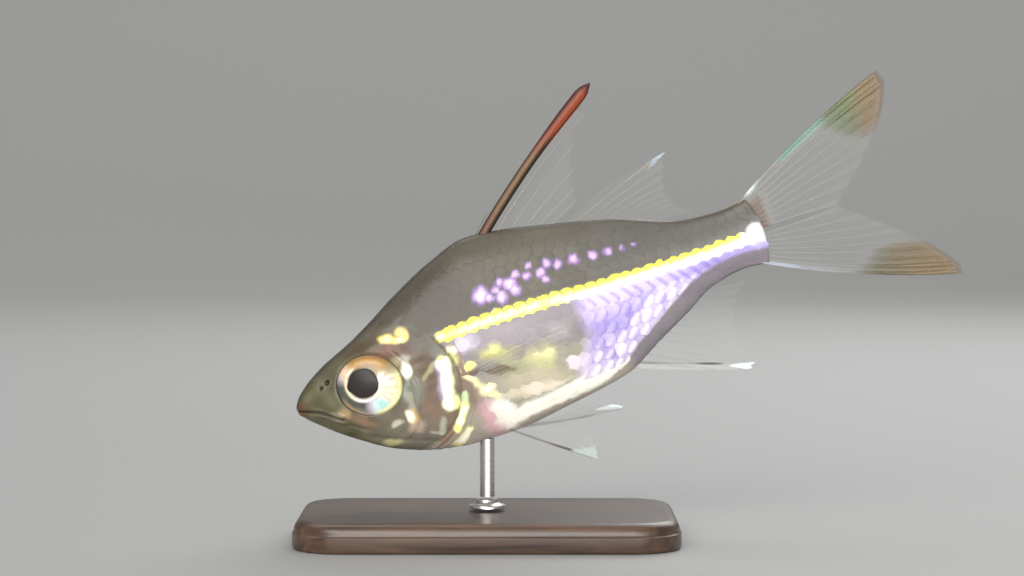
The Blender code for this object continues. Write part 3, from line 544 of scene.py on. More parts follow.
def relief(along, up):
    """Metres that gill cover, cheek, lips, nostrils and eye rim stand out from the plain body."""
    radius = gill_radius(along, up, GILL_OPENING)
    beside = ramp(along, 0.17, 0.25) * fade(up, -0.01, 0.07)
    beside = beside * ramp(up - belly(along), 0.006, 0.045)
    lift = 0.00026 * ramp(radius, 0.45, 0.95) * fade(radius, 0.985, 1.02) * beside
    lift -= 0.00008 * np.exp(-(((radius - 1.026) / 0.014) ** 2)) * beside
    spread = np.arctan2(up - 0.035, along - 0.215)
    lift += 0.000018 * np.sin(spread * 46) * ramp(radius, 0.72, 0.85) * fade(radius, 0.95, 1.0) * beside
    folds = ramp(radius, 1.02, 1.05) * fade(radius, 1.26, 1.32)
    folds = folds * ramp(-up, 0.09, 0.13) * fade(along, 0.33, 0.36)
    lift += 0.00006 * folds * np.cos((radius - 1.0) * 2 * math.pi / 0.075)

    turn = np.arctan2(up - CHEEK_EDGE[0][1], along - CHEEK_EDGE[0][0])
    saw = 0.012 * np.abs(np.sin(turn * 26)) * ramp(-turn, 0.35, 0.6)
    inner = gill_radius(along, up, CHEEK_EDGE) + saw
    cheek = ramp(along, 0.17, 0.2) * fade(up, 0.03, 0.06)
    lift += 0.00016 * ramp(inner, 0.8, 0.99) * fade(inner, 1.0, 1.02) * cheek
    lift -= 0.00006 * np.exp(-(((inner - 0.86) / 0.02) ** 2)) * cheek

    inside_mouth = ramp(0.086 - along, 0.0, 0.006)
    from_mouth = (up - mouth_level(np.minimum(along, 0.078))) * LENGTH * 0.9
    lift -= 0.00022 * np.exp(-((from_mouth / 0.00012) ** 2)) * inside_mouth
    upper_lip = np.exp(-(((from_mouth - 0.00036) / 0.0002) ** 2))
    lower_lip = np.exp(-(((from_mouth + 0.00038) / 0.00022) ** 2))
    lift += (0.0001 * upper_lip + 0.00012 * lower_lip) * inside_mouth
    jaw_plate = oval(along, up, (0.074, -0.046), (0.026, 0.0095), -34, 0.25)
    lift += 0.00009 * jaw_plate - 0.00008 * oval(along, up, (0.104, -0.078), (0.02, 0.003), -34, 0.6)
    jaw_line = [(0.06, -0.078), (0.11, -0.1), (0.17, -0.128), (0.24, -0.155)]
    lift -= 0.00007 * streak(along, up, jaw_line, 0.004, 0.8)
    lift += 0.00006 * oval(along, up, (0.088, -0.02), (0.03, 0.034), -40, 0.4)

    for pit_along, pit_up, size in NOSTRILS:
        lift += 0.00009 * oval(along, up, (pit_along, pit_up), (size * 1.7, size * 1.4), 30, 0.35)
        lift -= 0.00042 * oval(along, up, (pit_along, pit_up), (size, size * 0.8), 30, 0.4)

    off_eye = from_eye(along, up)
    lift += 0.00005 * np.exp(-(((off_eye - EYE_RADIUS - 0.006) / 0.006) ** 2))
    lift -= 0.0016 * fade(off_eye, EYE_RADIUS - 0.004, EYE_RADIUS + 0.0015)
    lift += 0.00003 * ripple(along, up, 0.03, 21) * fade(along, 0.28, 0.34)
    return lift


def fish_pose():
    """From the fish's own frame to the world, as the stand holds it."""
    along, up = (share * LENGTH for share in ROD_UNDER)
    lean = NOSE_DOWN
    place = Vector((
        -(along * math.cos(lean) - up * math.sin(lean)),
        0,
        BELLY_HEIGHT - (along * math.sin(lean) + up * math.cos(lean)),
    ))
    return Matrix.Translation(place) @ Matrix.Rotation(-lean, 4, "Y")


POSE = fish_pose()
POSE_TURN = np.array(POSE.to_3x3())
POSE_PLACE = np.array(POSE.translation)


def to_world(points):
    return np.asarray(points) @ POSE_TURN.T + POSE_PLACE


def add_piece(name, points, faces, material, replaces=(), posed=True, smooth=True):
    """A mesh piece that rides on the part's one body. Its points are in the fish's frame if posed."""
    mesh = bpy.data.meshes.new(name)
    points = to_world(points) if posed else np.asarray(points)
    mesh.from_pydata(points.tolist(), [], [tuple(face) for face in faces])
    mesh.validate()
    shape = bmesh.new()
    shape.from_mesh(mesh)
    bmesh.ops.recalc_face_normals(shape, faces=shape.faces)
    shape.to_mesh(mesh)
    shape.free()
    if smooth:
        mesh.shade_smooth()
    piece = bpy.data.objects.new(name, mesh)
    bpy.context.scene.collection.objects.link(piece)
    mesh.materials.append(material)
    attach(piece, "root")
    if replaces:
        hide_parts(*replaces)
    return piece


def store_marks(piece, colour, **values):
    """Keeps a colour and other values for each point, under the names that the materials read."""
    layer = piece.data.color_attributes.new("markings", "FLOAT_COLOR", "POINT")
    rgba = np.ones((len(piece.data.vertices), 4))
    rgba[:, :3] = np.clip(colour.reshape(-1, 3), 0, 1)
    layer.data.foreach_set("color", rgba.ravel())
    for name, numbers in values.items():
        layer = piece.data.attributes.new(name, "FLOAT", "POINT")
        layer.data.foreach_set("value", np.ravel(numbers))


def grid_faces(rows, columns, closed=False, start=0):
    """Four-sided faces over rows of points. A closed grid joins each row's end to its start."""
    faces = []
    for r in range(rows - 1):
        for k in range(columns if closed else columns - 1):
            a, b = start + r * columns + k, start + r * columns + (k + 1) % columns
            faces.append((a, b, b + columns, a + columns))
    return faces


def end_caps(rows, around, first, last):
    """Faces that close the two ends of a closed grid, each onto the point that is given for it."""
    faces, end = [], (rows - 1) * around
    for k in range(around):
        after = (k + 1) % around
        faces += [(first, after, k), (last, end + k, end + after)]
    return faces


# Shader helpers and the effects that several materials share

def fill_in(tree, node, values):
    """Sets a node's inputs by name or number. A value that is another node's output is linked."""
    for name, value in values.items():
        if isinstance(value, bpy.types.NodeSocket):
            tree.links.new(value, node.inputs[name])
        else:
            node.inputs[name].default_value = value


def add_node(tree, kind, values=(), **settings):
    """A new shader node of a kind, with its settings made and its inputs filled in."""
    node = tree.nodes.new("ShaderNode" + kind)
    for setting, value in settings.items():
        setattr(node, setting, value)
    fill_in(tree, node, dict(values))
    return node


def start_material(name):
    """A new material, its node tree and its surface shader."""
    made = bpy.data.materials.new(name)
    made.use_nodes = True
    return made, made.node_tree, made.node_tree.nodes["Principled BSDF"]


def calculate(tree, operation, *values):
    """The result of a Math node."""
    return add_node(tree, "Math", enumerate(values), operation=operation).outputs[0]


def new_group(name, inputs, outputs):
    """An empty node group. inputs and outputs are (name, kind, value) with kind Float, Color or Vector."""
    group = bpy.data.node_groups.new(name, "ShaderNodeTree")
    for label, kind, value in inputs:
        socket = group.interface.new_socket(name=label, in_out="INPUT", socket_type="NodeSocket" + kind)
        if value is not None:
            socket.default_value = value
    for label, kind in outputs:
        group.interface.new_socket(name=label, in_out="OUTPUT", socket_type="NodeSocket" + kind)
    return group, group.nodes.new("NodeGroupInput"), group.nodes.new("NodeGroupOutput")


def read_attribute(tree, name, output):
    return add_node(tree, "Attribute", attribute_name=name).outputs[output]


def add_bump(tree, height, strength, distance):
    bump = add_node(tree, "Bump", {"Height": height, "Strength": strength, "Distance": distance})
    return bump.outputs["Normal"]


def noise(tree, scale, detail, stretch=None, distortion=0.0):
    """Smooth noise in the object's own space. stretch draws it out, as a scale for each direction."""
    place = add_node(tree, "TexCoord").outputs["Object"]
    if stretch:
        place = add_node(tree, "Mapping", {"Vector": place, "Scale": stretch}).outputs["Vector"]
    given = {"Vector": place, "Scale": scale, "Detail": detail, "Distortion": distortion}
    return add_node(tree, "TexNoise", given).outputs["Fac"]


def guanine_group():
    """Silvery crystals under skin and scales: a stored colour with fine glints, and small changes of hue."""
    group, given, result = new_group(
        "guanine glints",
        [("Colour", "Color", (1, 1, 1, 1)), ("Glint", "Float", 0.3), ("Hue play", "Float", 0.2)],
        [("Colour", "Color"), ("Roughness", "Float"), ("Height", "Float")],
    )
    fine, broad = noise(group, 5200, 2), noise(group, 900, 3)
    shift = calculate(group, "MULTIPLY", calculate(group, "SUBTRACT", broad, 0.5), given.outputs["Hue play"])
    lift = calculate(group, "MULTIPLY", calculate(group, "SUBTRACT", fine, 0.5), given.outputs["Glint"])
    hue = add_node(group, "HueSaturation", {
        "Color": given.outputs["Colour"],
        "Hue": calculate(group, "ADD", shift, 0.5),
        "Value": calculate(group, "ADD", lift, 1.0),
    })
    fill_in(group, result, {
        "Colour": hue.outputs["Color"],
        "Roughness": calculate(group, "MULTIPLY_ADD", fine, 0.24, 0.18),
        "Height": calculate(group, "ADD", fine, calculate(group, "MULTIPLY", broad, 1.5)),
    })
    return group


def speck_group():
    """Tiny dark pigment cells, densest where a mask asks for them."""
    group, given, result = new_group(
        "pigment specks",
        [("Colour", "Color", (1, 1, 1, 1)), ("Amount", "Float", 0.5),
         ("Ink", "Color", (0.03, 0.022, 0.015, 1))],
        [("Colour", "Color")],
    )
    place = add_node(group, "TexCoord").outputs["Object"]
    cells = add_node(group, "TexVoronoi", {"Vector": place, "Scale": 3400})
    largest = calculate(group, "MULTIPLY", given.outputs["Amount"], 0.62)
    size = calculate(group, "MULTIPLY", noise(group, 420, 2), largest)
    inside = calculate(group, "SUBTRACT", size, cells.outputs["Distance"])
    mask = add_node(group, "Clamp", {"Value": calculate(group, "MULTIPLY", inside, 9.0)}).outputs[0]
    inked = add_node(group, "Mix", {
        0: calculate(group, "MULTIPLY", mask, 0.75),
        6: given.outputs["Colour"],
        7: given.outputs["Ink"],
    }, data_type="RGBA")
    fill_in(group, result, {"Colour": inked.outputs[2]})
    return group


GUANINE = guanine_group()
SPECKS = speck_group()


def fish_surface(name, glint, hue, specks, coat, bump, alpha=False, flesh=0.0):
    """A wet fish surface that shows the stored markings."""
    made, tree, surface = start_material(name)
    markings = read_attribute(tree, "markings", "Color")
    glints = {"Colour": markings, "Glint": glint, "Hue play": hue}
    crystals = add_node(tree, "Group", glints, node_tree=GUANINE)
    amount = calculate(tree, "MULTIPLY", read_attribute(tree, "pigment", "Fac"), specks)
    specked = {"Colour": crystals.outputs["Colour"], "Amount": amount}
    pigment = add_node(tree, "Group", specked, node_tree=SPECKS)
    fill_in(tree, surface, {
        "Base Color": pigment.outputs["Colour"],
        "Metallic": read_attribute(tree, "shine", "Fac"),
        "Roughness": crystals.outputs["Roughness"],
        "IOR": 1.38,
        "Specular IOR Level": 0.32,
        "Coat Weight": coat,
        "Coat Roughness": 0.24,
        "Subsurface Weight": flesh,
        "Subsurface Radius": (0.003, 0.0022, 0.0014),
        "Subsurface Scale": 1.0,
        "Normal": add_bump(tree, crystals.outputs["Height"], bump, 0.00004),
    })
    if alpha:
        fill_in(tree, surface, {"Alpha": read_attribute(tree, "cover", "Fac")})
    return made


# Skin

SKIN_STATIONS = 300
SKIN_ROUND = 280


def build_skin():
    """One skin over head, jaw, gill covers, trunk and tail stalk."""
    t = np.linspace(0, 1, SKIN_STATIONS)
    stations = -0.004 + 1.004 * (0.55 * t + 0.45 * t**2.2)
    turns = -90 + 360 * np.arange(SKIN_ROUND) / SKIN_ROUND
    side = np.where(turns <= 90, -1.0, 1.0)
    turn = np.radians(np.where(turns <= 90, turns, 180 - turns))
    along = np.repeat(stations[:, None], SKIN_ROUND, axis=1)
    turn = np.repeat(turn[None, :], SKIN_STATIONS, axis=0)
    side = np.repeat(side[None, :], SKIN_STATIONS, axis=0)
    points = skin_place(along, turn, side)
    normal = skin_normal(along, turn, side, 0.002, 0.01)
    up = points[..., 2] / LENGTH
    lift = relief(along, up)
    inward = np.minimum(lift, 0)
    limit = np.maximum(np.abs(points[..., 1]) - 0.0004, 0)
    lift = np.where(lift < 0, -np.minimum(-inward, limit), lift)
    points = points + normal * lift[..., None]
    flat = points.reshape(-1, 3)
    ends = np.array([points[0].mean(axis=0), points[-1].mean(axis=0)])
    flat = np.concatenate([flat, ends])
    faces = grid_faces(SKIN_STATIONS, SKIN_ROUND, closed=True)
    faces += end_caps(SKIN_STATIONS, SKIN_ROUND, len(flat) - 2, len(flat) - 1)
    nodes = ("head", "nape", "lower_jaw", "gill_cover_left", "gill_cover_right", "trunk", "tail_stalk")
    look = fish_surface("wet clear skin", glint=0.12, hue=0.02, specks=0.45, coat=0.25, flesh=0.3, bump=0.2)
    skin = add_piece("skin", flat, faces, look, replaces=nodes)

    places = np.concatenate([np.stack([along, up], -1).reshape(-1, 2), [[-0.004, -0.004], [1.0, 0.01]]])
    along, up = places.T
    colour, shine = skin_colours(along, up)
    # Painted shade: the groove of the mouth is painted dark.
    mouth_groove_shade = streak(along, up, MOUTH_LINE, 0.0022, 0.5)
    colour = mix(colour, (0.03, 0.018, 0.012), 0.65 * mouth_groove_shade)
    # Painted shade: the nostril pits are painted nearly black.
    for pit_along, pit_up, size in NOSTRILS:
        pit_shade = oval(along, up, (pit_along, pit_up), (size, size * 0.8), 30, 0.3)
        colour = mix(colour, (0.012, 0.008, 0.006), 0.9 * pit_shade)
    # Painted shade: the skin dipped into the eye socket, under the eyeball's edge, is painted nearly black.
    socket = fade(from_eye(along, up), EYE_RADIUS - 0.005, EYE_RADIUS)
    colour = mix(colour, (0.02, 0.014, 0.01), socket)
    dark = fade(colour.mean(axis=1), 0.15, 0.45)
    store_marks(skin, colour, shine=shine, pigment=dark * (0.35 + 0.65 * ramp(up, -0.02, 0.1)))


# Scales

SCALE_SPACING = 0.0243  # from one scale to the next along a row, in shares of the length
ROW_SPACING = 0.0268
SCALE_LIFT = 0.00004
LAST_SCALE = 0.992
EDGE_ROOM = 0.0011  # free of scale middles along the back and the belly, in metres


def arc_table():
    """For stations along the body, how many metres round the flank each turn is from the widest level."""
    stations = np.linspace(0.0, 1.0, 240)
    turns = np.radians(np.linspace(-90, 90, 181))
    points = skin_place(stations[:, None] + 0 * turns, turns + 0 * stations[:, None], -1.0)
    steps = np.linalg.norm(np.diff(points, axis=1), axis=-1)
    lengths = np.concatenate([np.zeros((len(stations), 1)), np.cumsum(steps, axis=1)], axis=1)
    level = lengths[:, 90:91]
    return stations, turns, lengths - level


ARC_STATIONS, ARC_TURNS, ARC_LENGTHS = arc_table()


def turn_at(along, distance):
    """The turn at a distance round the flank, for arrays of places."""
    flat_along, flat_distance = np.ravel(along), np.ravel(distance)
    row = np.clip(flat_along, 0, 1) * (len(ARC_STATIONS) - 1)
    low = np.clip(row.astype(int), 0, len(ARC_STATIONS) - 2)
    share = row - low
    found = np.empty(len(row))
    for k in range(len(row)):
        a = np.interp(flat_distance[k], ARC_LENGTHS[low[k]], ARC_TURNS)
        b = np.interp(flat_distance[k], ARC_LENGTHS[low[k] + 1], ARC_TURNS)
        found[k] = a + (b - a) * share[k]
    return found.reshape(np.shape(along))


def level_of(along, up):
    """Metres round the flank from its widest level to a place seen from the side."""
    flat_along, flat_up = np.ravel(along), np.ravel(up)
    found = []
    for a, u in zip(flat_along, flat_up):
        row = int(np.clip(round(a * (len(ARC_STATIONS) - 1)), 0, len(ARC_STATIONS) - 1))
        heights = skin_place(np.full(len(ARC_TURNS), a), ARC_TURNS, -1.0)[:, 2] / LENGTH
        found.append(np.interp(u, heights, ARC_LENGTHS[row]))
    return np.array(found).reshape(np.shape(along))


def scale_roots():
    """Each scale's middle on one flank: along, metres round the flank, and row. Row 0 is the stripe's."""
    stations = np.linspace(0.18, 1.0, 60)
    middle = level_of(stations, STRIPE_MIDDLE(stations) + RISE)
    roots = []
    for row in range(-9, 10):
        shift = 0.5 * (row % 2)
        for column in range(8, 42):
            along = (column + shift) * SCALE_SPACING
            distance = np.interp(along, stations, middle) + row * ROW_SPACING * LENGTH
            low = np.interp(along, ARC_STATIONS, ARC_LENGTHS[:, 0])
            high = np.interp(along, ARC_STATIONS, ARC_LENGTHS[:, -1])
            if along < LAST_SCALE and low + EDGE_ROOM < distance < high - EDGE_ROOM:
                roots.append((along, distance, row))
    return np.array(roots)


def build_scales(side):
    """The scales of one flank: thin round shields that overlap towards the tail."""
    roots = scale_roots()
    turns = turn_at(roots[:, 0], roots[:, 1])
    centres = skin_place(roots[:, 0], turns, side)
    up = centres[:, 2] / LENGTH
    opening = gill_radius(roots[:, 0], up, GILL_OPENING)
    keep = (opening > 1.1) | ((up > 0.06) & (opening > 0.8))
    roots, up = roots[keep], up[keep]
    count = len(roots)
    rings, around = 6, 20
    shares = np.array([0.25, 0.45, 0.62, 0.78, 0.9, 1.0])
    turn = 2 * math.pi * np.arange(around) / around
    a = np.concatenate([[0], (shares[:, None] * np.cos(turn)).ravel(), [0]])
    b = np.concatenate([[0], (shares[:, None] * np.sin(turn)).ravel(), [0]])
    height = SCALE_LIFT * (0.25 + 0.75 * a) + 0.000008 * (1 - a * a - b * b)
    height[1 + (rings - 1) * around:-1] -= 0.000008
    height[-1] = -0.00008
    size = 1 + 0.05 * rng.standard_normal((count, 1))
    jitter = 0.0009 * rng.standard_normal((count, 2))
    on_stripe = (roots[:, 2] == 0)[:, None]
    slant = np.where(on_stripe, 0.34, 0.1 * np.sign(roots[:, 2:3]))
    half_long, half_high = 0.76 * SCALE_SPACING * size, 0.62 * ROW_SPACING * size * LENGTH
    along = roots[:, :1] + jitter[:, :1] + half_long * (a - 0.12 * b * b + slant * b)
    along = np.minimum(along, 1.004)
    around_body = roots[:, 1:2] + jitter[:, 1:] * LENGTH * 0.6 + half_high * b
    low = np.interp(along, ARC_STATIONS, ARC_LENGTHS[:, 0]) + 0.0003
    high = np.interp(along, ARC_STATIONS, ARC_LENGTHS[:, -1]) - 0.0003
    turns = turn_at(along, np.clip(around_body, low, high))
    points = skin_place(along, turns, side)
    normal = skin_normal(along, turns, side, 0.003, 0.02)
    tilt = 0.00001 * rng.standard_normal((count, 1))
    points = points + normal * (height + tilt * a)[..., None]
    per = points.shape[1]
    faces = []
    for n in range(count):
        s = n * per
        for k in range(around):
            j = (k + 1) % around
            faces.append((s, s + 1 + k, s + 1 + j))
            for ring in range(rings - 1):
                inner, outer = s + 1 + ring * around, s + 1 + (ring + 1) * around
                faces.append((inner + k, outer + k, outer + j, inner + j))
            last = s + 1 + (rings - 1) * around
            faces.append((s + per - 1, last + j, last + k))
    name = "scales_left" if side < 0 else "scales_right"
    piece = add_piece(name, points.reshape(-1, 3), faces, SCALE_LOOK)
    piece.data.set_sharp_from_angle(angle=SHARP_EDGE)
    colour, shine, cover, pigment = scale_colours(roots, up, along, points[..., 2] / LENGTH, a, b)
    store_marks(piece, colour, shine=shine, cover=cover, pigment=pigment)
    add_root_map(piece, roots[:, 0], turns[:, 0], a, b)
    return piece


def scale_colours(roots, up, along, seen_up, a, b):
    """Colour, shine, cover and pigment of the scales. a and b are places on a scale, from -1 to 1."""
    count = len(roots)
    seen, root_up = seen_up - RISE, (up - RISE)[:, None]
    above = ramp(seen - STRIPE_MIDDLE(along) - STRIPE_HALF(along), -0.004, 0.004)
    at_belly = ramp(belly_band(along, seen), 0.0, 0.2)
    flank = flank_share(along, seen)
    share = 0.3 * (1 - np.maximum(above, at_belly)) * (1 - 0.8 * flank)
    own = along * (1 - share) + (roots[:, :1] + 0.5 * SCALE_SPACING) * share
    own_up = seen * (1 - share) + root_up * share
    colour, shine = body_colours(own, own_up)
    glow = rng.standard_normal((count, 1))

    low = fade(own_up - VIOLET_FOOT(own), 0.034, 0.06)
    high = fade(STRIPE_MIDDLE(own) - STRIPE_HALF(own) - own_up, 0.014, 0.034)
    high = np.maximum(high, ramp(own, 0.8, 0.88))
    reach = np.hypot(a, b)
    middle = 0.38 + 0.14 * np.sin(9 * glow)
    across = np.abs(0.766 * b - 0.643 * (a - middle))
    length = np.abs(0.766 * (a - middle) + 0.643 * b)
    stroke = fade(across, 0.1, 0.38) * fade(length, 0.75, 1.1)
    dash = fade(np.abs(0.906 * (a - 0.45) + 0.42 * b), 0.08, 0.3) * fade(np.abs(b), 0.45, 0.85)
    white = np.array((0.99, 0.88, 0.97))
    violet = np.array((0.27, 0.215, 0.56))
    lilac = 0.14 + 0.06 * np.clip(glow, -1, 1) + 0.14 * ripple(own, own_up, 0.05, 17)
    brightness = np.clip(0.95 + 0.35 * np.sin(7 * glow), 0.4, 1.2)
    lilac = lilac + (0.4 * low + (0.8 * low + 0.16 * (1 - low)) * stroke) * brightness
    lilac = lilac + high * (0.29 - 0.15 * ramp(own, 0.76, 0.86) - lilac)
    lilac = lilac - 0.32 * high * dash * ramp(0.93 - own, 0.0, 0.06)
    lilac = lilac - 0.25 * ramp(reach, 0.8, 0.95) * ramp(a, 0.0, 0.3) * (1 - high)
    mottled = violet + (white - violet) * np.clip(lilac, 0, 1)[..., None]
    colour = mix(colour, mottled, flank * 0.85)

    stripe = (roots[:, 2:3] == 0) * ramp(roots[:, :1], 0.3, 0.325)
    beside = (roots[:, 2:3] != 0) * stripe_share(own, own_up)
    aside = np.where(root_up > STRIPE_MIDDLE(own), 0.022, -0.022)
    plain, plain_shine = body_colours(own, own_up + aside)
    colour = mix(colour, plain, beside)
    shine = shine + (plain_shine - shine) * beside
    off = np.clip((seen - STRIPE_MIDDLE(along)) / STRIPE_HALF(along), -1, 1)
    core = fade(np.abs(off + 0.12 - 0.25 * a), 0.16, 0.72) * (0.75 + 0.25 * np.sin(glow * 3))
    lemon = mix(one_colour(LEMON, own), (0.99, 0.96, 0.5), 0.85 * core)
    lemon = mix(lemon, (0.99, 0.97, 0.93), ramp(-off, -0.2, 0.3) * ramp(own, 0.55, 0.64))
    lemon = mix(lemon, (0.99, 0.96, 0.95), ramp(own, 0.95, 0.962))
    gap = ramp(reach, 0.76, 0.9) * ramp(a, 0.0, 0.3) * ramp(b, -0.15, 0.2)
    gap = gap * (1 - 0.6 * ramp(own, 0.6, 0.7)) * fade(own, 0.88, 0.94)
    lemon = mix(lemon, (0.22, 0.2, 0.03), 0.8 * gap)
    colour = mix(colour, lemon, stripe)
    shine = shine + (0.08 - shine) * stripe

    colour = colour * (1 + 0.025 * glow * (1 - at_belly))[..., None]
    high = ramp(root_up, 0.052, 0.053)
    first = high * ramp(roots[:, :1], 0.262, 0.264) + (1 - high) * ramp(roots[:, :1], 0.318, 0.32)
    cover = np.where(own < 0.4, first, 1.0)
    return colour, shine, cover, 0.35 * ramp(own_up, 0.03, 0.12)


def add_root_map(piece, along, turn, a, b):
    """A map named OFBake: each scale is a small patch at its root's place on the unrolled skin."""
    patch = 0.01
    u = 0.02 + 0.96 * along[:, None] + patch * a
    v = 0.5 + turn[:, None] / math.pi * 0.94 + patch * b
    layer = piece.data.uv_layers.new(name="OFBake")
    corners = np.empty(len(piece.data.loops), dtype=int)
    piece.data.loops.foreach_get("vertex_index", corners)
    spread = np.stack([u.ravel(), v.ravel()], -1)
    layer.data.foreach_set("uv", spread[corners].ravel())


SCALE_LOOK = fish_surface("pearly scale", alpha=True, glint=0.14, hue=0.03, specks=0.5, coat=0.12, bump=0.2)


# Eyes

def eye_colours(x, z, radius):
    """Colour and shine of the iris at a place on the eye, in shares of the eye's radius."""
    turn = np.degrees(np.arctan2(z, x)) + math.degrees(NOSE_DOWN)
    from_pupil = np.hypot(x - PUPIL_PLACE[0] / EYE_RADIUS, z - PUPIL_PLACE[1] / EYE_RADIUS)
    ring = from_pupil - PUPIL_RADIUS / EYE_RADIUS
    around = np.radians(turn)

    def sector(middle, half, soft):
        off = np.abs((turn - middle + 180) % 360 - 180)
        return 1 - ramp(off, half - soft, half + soft)

    coat = Coat((0.66, 0.6, 0.4), x)
    coat.lay((0.86, 0.82, 0.58), sector(4, 46, 24))
    streaks = np.sin(around * 13 + 5 * radius) * np.sin(around * 7 - 9 * radius)
    dark_streaks = 0.85 * sector(34, 34, 14) * ramp(streaks, 0.0, 0.5) * ramp(ring, 0.1, 0.25)
    coat.lay((0.22, 0.18, 0.11), dark_streaks)
    coat.lay((0.27, 0.225, 0.135), 0.9 * sector(50, 15, 10) * ramp(radius, 0.54, 0.74))
    veins = np.sin(around * 23 + 3 * radius) * ramp(radius, 0.45, 0.6)
    coat.lay((0.56, 0.48, 0.33), 0.6 * sector(8, 46, 14) * ramp(veins, 0.1, 0.8))
    coat.lay((0.88, 0.8, 0.34), 0.8 * sector(2, 26, 16) * ramp(radius, 0.74, 0.9))
    coat.lay((0.33, 0.28, 0.16), 0.85 * sector(44, 16, 14) * ramp(ring, 0.18, 0.4))
    top = sector(112, 60, 18)
    coat.lay((0.31, 0.24, 0.1), top)
    coat.lay((0.33, 0.165, 0.055), top * ramp(radius, 0.56, 0.74))
    coat.lay((0.52, 0.33, 0.12), 0.6 * top * ramp(radius, 0.7, 0.8) * fade(radius, 0.84, 0.95))
    coat.lay((0.26, 0.19, 0.11), 0.8 * sector(78, 26, 14) * fade(ring, 0.08, 0.26))
    coat.lay((0.78, 0.6, 0.42), 0.85 * sector(162, 22, 12))
    coat.lay((0.42, 0.42, 0.56), 0.85 * sector(184, 17, 12) * ramp(radius, 0.74, 0.88))
    low = sector(-92, 36, 18)
    coat.lay((0.55, 0.47, 0.52), low)
    cyan = sector(-58, 20, 10) * ramp(radius, 0.4, 0.6)
    coat.lay((0.66, 0.86, 0.88), cyan * 0.9)
    sea_green = 0.8 * sector(-52, 9, 7) * ramp(radius, 0.5, 0.62) * fade(radius, 0.8, 0.92)
    coat.lay((0.38, 0.74, 0.64), sea_green)
    coat.lay((0.96, 0.94, 0.52), sector(-42, 32, 12) * ramp(radius, 0.8, 0.9))
    moss = sector(-140, 46, 12) * ramp(ring, 0.09, 0.16)
    coat.lay((0.042, 0.051, 0.036), moss * 0.92)
    coat.lay((0.2, 0.2, 0.15), 0.8 * sector(-108, 14, 12) * ramp(radius, 0.7, 0.85))
    coat.lay((0.44, 0.31, 0.16), 0.85 * sector(-132, 17, 10) * ramp(radius, 0.8, 0.92))
    coat.lay((0.48, 0.35, 0.3), 0.75 * sector(-100, 16, 9) * ramp(radius, 0.82, 0.93))
    bright = fade(np.abs(ring - 0.06), 0.02, 0.06)
    dimmer = np.maximum(0.95 * sector(90, 50, 20), 0.75 * sector(186, 34, 16))
    coat.lay((0.98, 0.94, 0.8), 0.95 * bright * (1 - dimmer))
    coat.lay((0.1, 0.085, 0.055), fade(ring, 0.0, 0.04) * 0.7)
    shade = ramp(radius, 0.93, 0.995)
    coat.lay((0.16, 0.105, 0.05), shade * (0.35 + 0.35 * top))
    colour = coat.colour * (1 + 0.04 * np.sin(around * 31 + 7 * radius))[..., None]
    return colour, 0.1 * (1 - 0.8 * shade) * (1 - 0.5 * moss)


def eye_point(x, z, height, side):
    """A place on the eye, x forward-back and z up in metres and height outwards, in the fish's own frame."""
    turn = EYE_FORWARD
    forward = x * math.cos(turn) - height * math.sin(turn)
    out = x * math.sin(turn) + height * math.cos(turn)
    return np.stack([EYE_PLACE[0] * LENGTH + forward, side * (EYE_OUT + out), EYE_PLACE[1] * LENGTH + z], -1)


def build_eye(side, name, look):
    """An eyeball with its painted iris, set in the head."""
    around, rings = 96, 44
    radius = EYE_RADIUS * LENGTH
    t = np.linspace(0, 1, rings + 1)[1:]
    angle = 2 * math.pi * np.arange(around) / around
    profile = np.sin(t * math.pi * 0.62)
    height = np.where(t * 0.62 <= 0.5, EYE_DOME, 0.0019) * np.cos(t * math.pi * 0.62)
    x = radius * eye_shape(angle) * profile[:, None] ** 0.92 * np.cos(angle)
    z = radius * eye_shape(angle) * profile[:, None] ** 0.92 * np.sin(angle)
    share_x, share_z = x / radius, z / radius
    from_pupil = np.hypot(share_x - PUPIL_PLACE[0] / EYE_RADIUS, share_z - PUPIL_PLACE[1] / EYE_RADIUS)
    size = PUPIL_RADIUS / EYE_RADIUS
    groove = -0.00005 * np.exp(-(((from_pupil - size - 0.03) / 0.03) ** 2))
    rise = height[:, None] + groove
    points = eye_point(x, z, rise, side).reshape(-1, 3)
    ends = eye_point(np.zeros(2), np.zeros(2), np.array([EYE_DOME, -0.0017]), side)
    points = np.concatenate([points, ends])
    faces = grid_faces(rings, around, closed=True)
    faces += end_caps(rings, around, rings * around, rings * around + 1)
    piece = add_piece(name, points, faces, look, replaces=[name])
    share_x, share_z = np.append(share_x, [0, 0]), np.append(share_z, [0, 0])
    round_share = np.hypot(share_x, share_z) / eye_shape(np.arctan2(share_z, share_x))
    colour, shine = eye_colours(share_x, share_z, round_share)
    store_marks(piece, colour, shine=shine, pigment=0 * shine)
    return piece


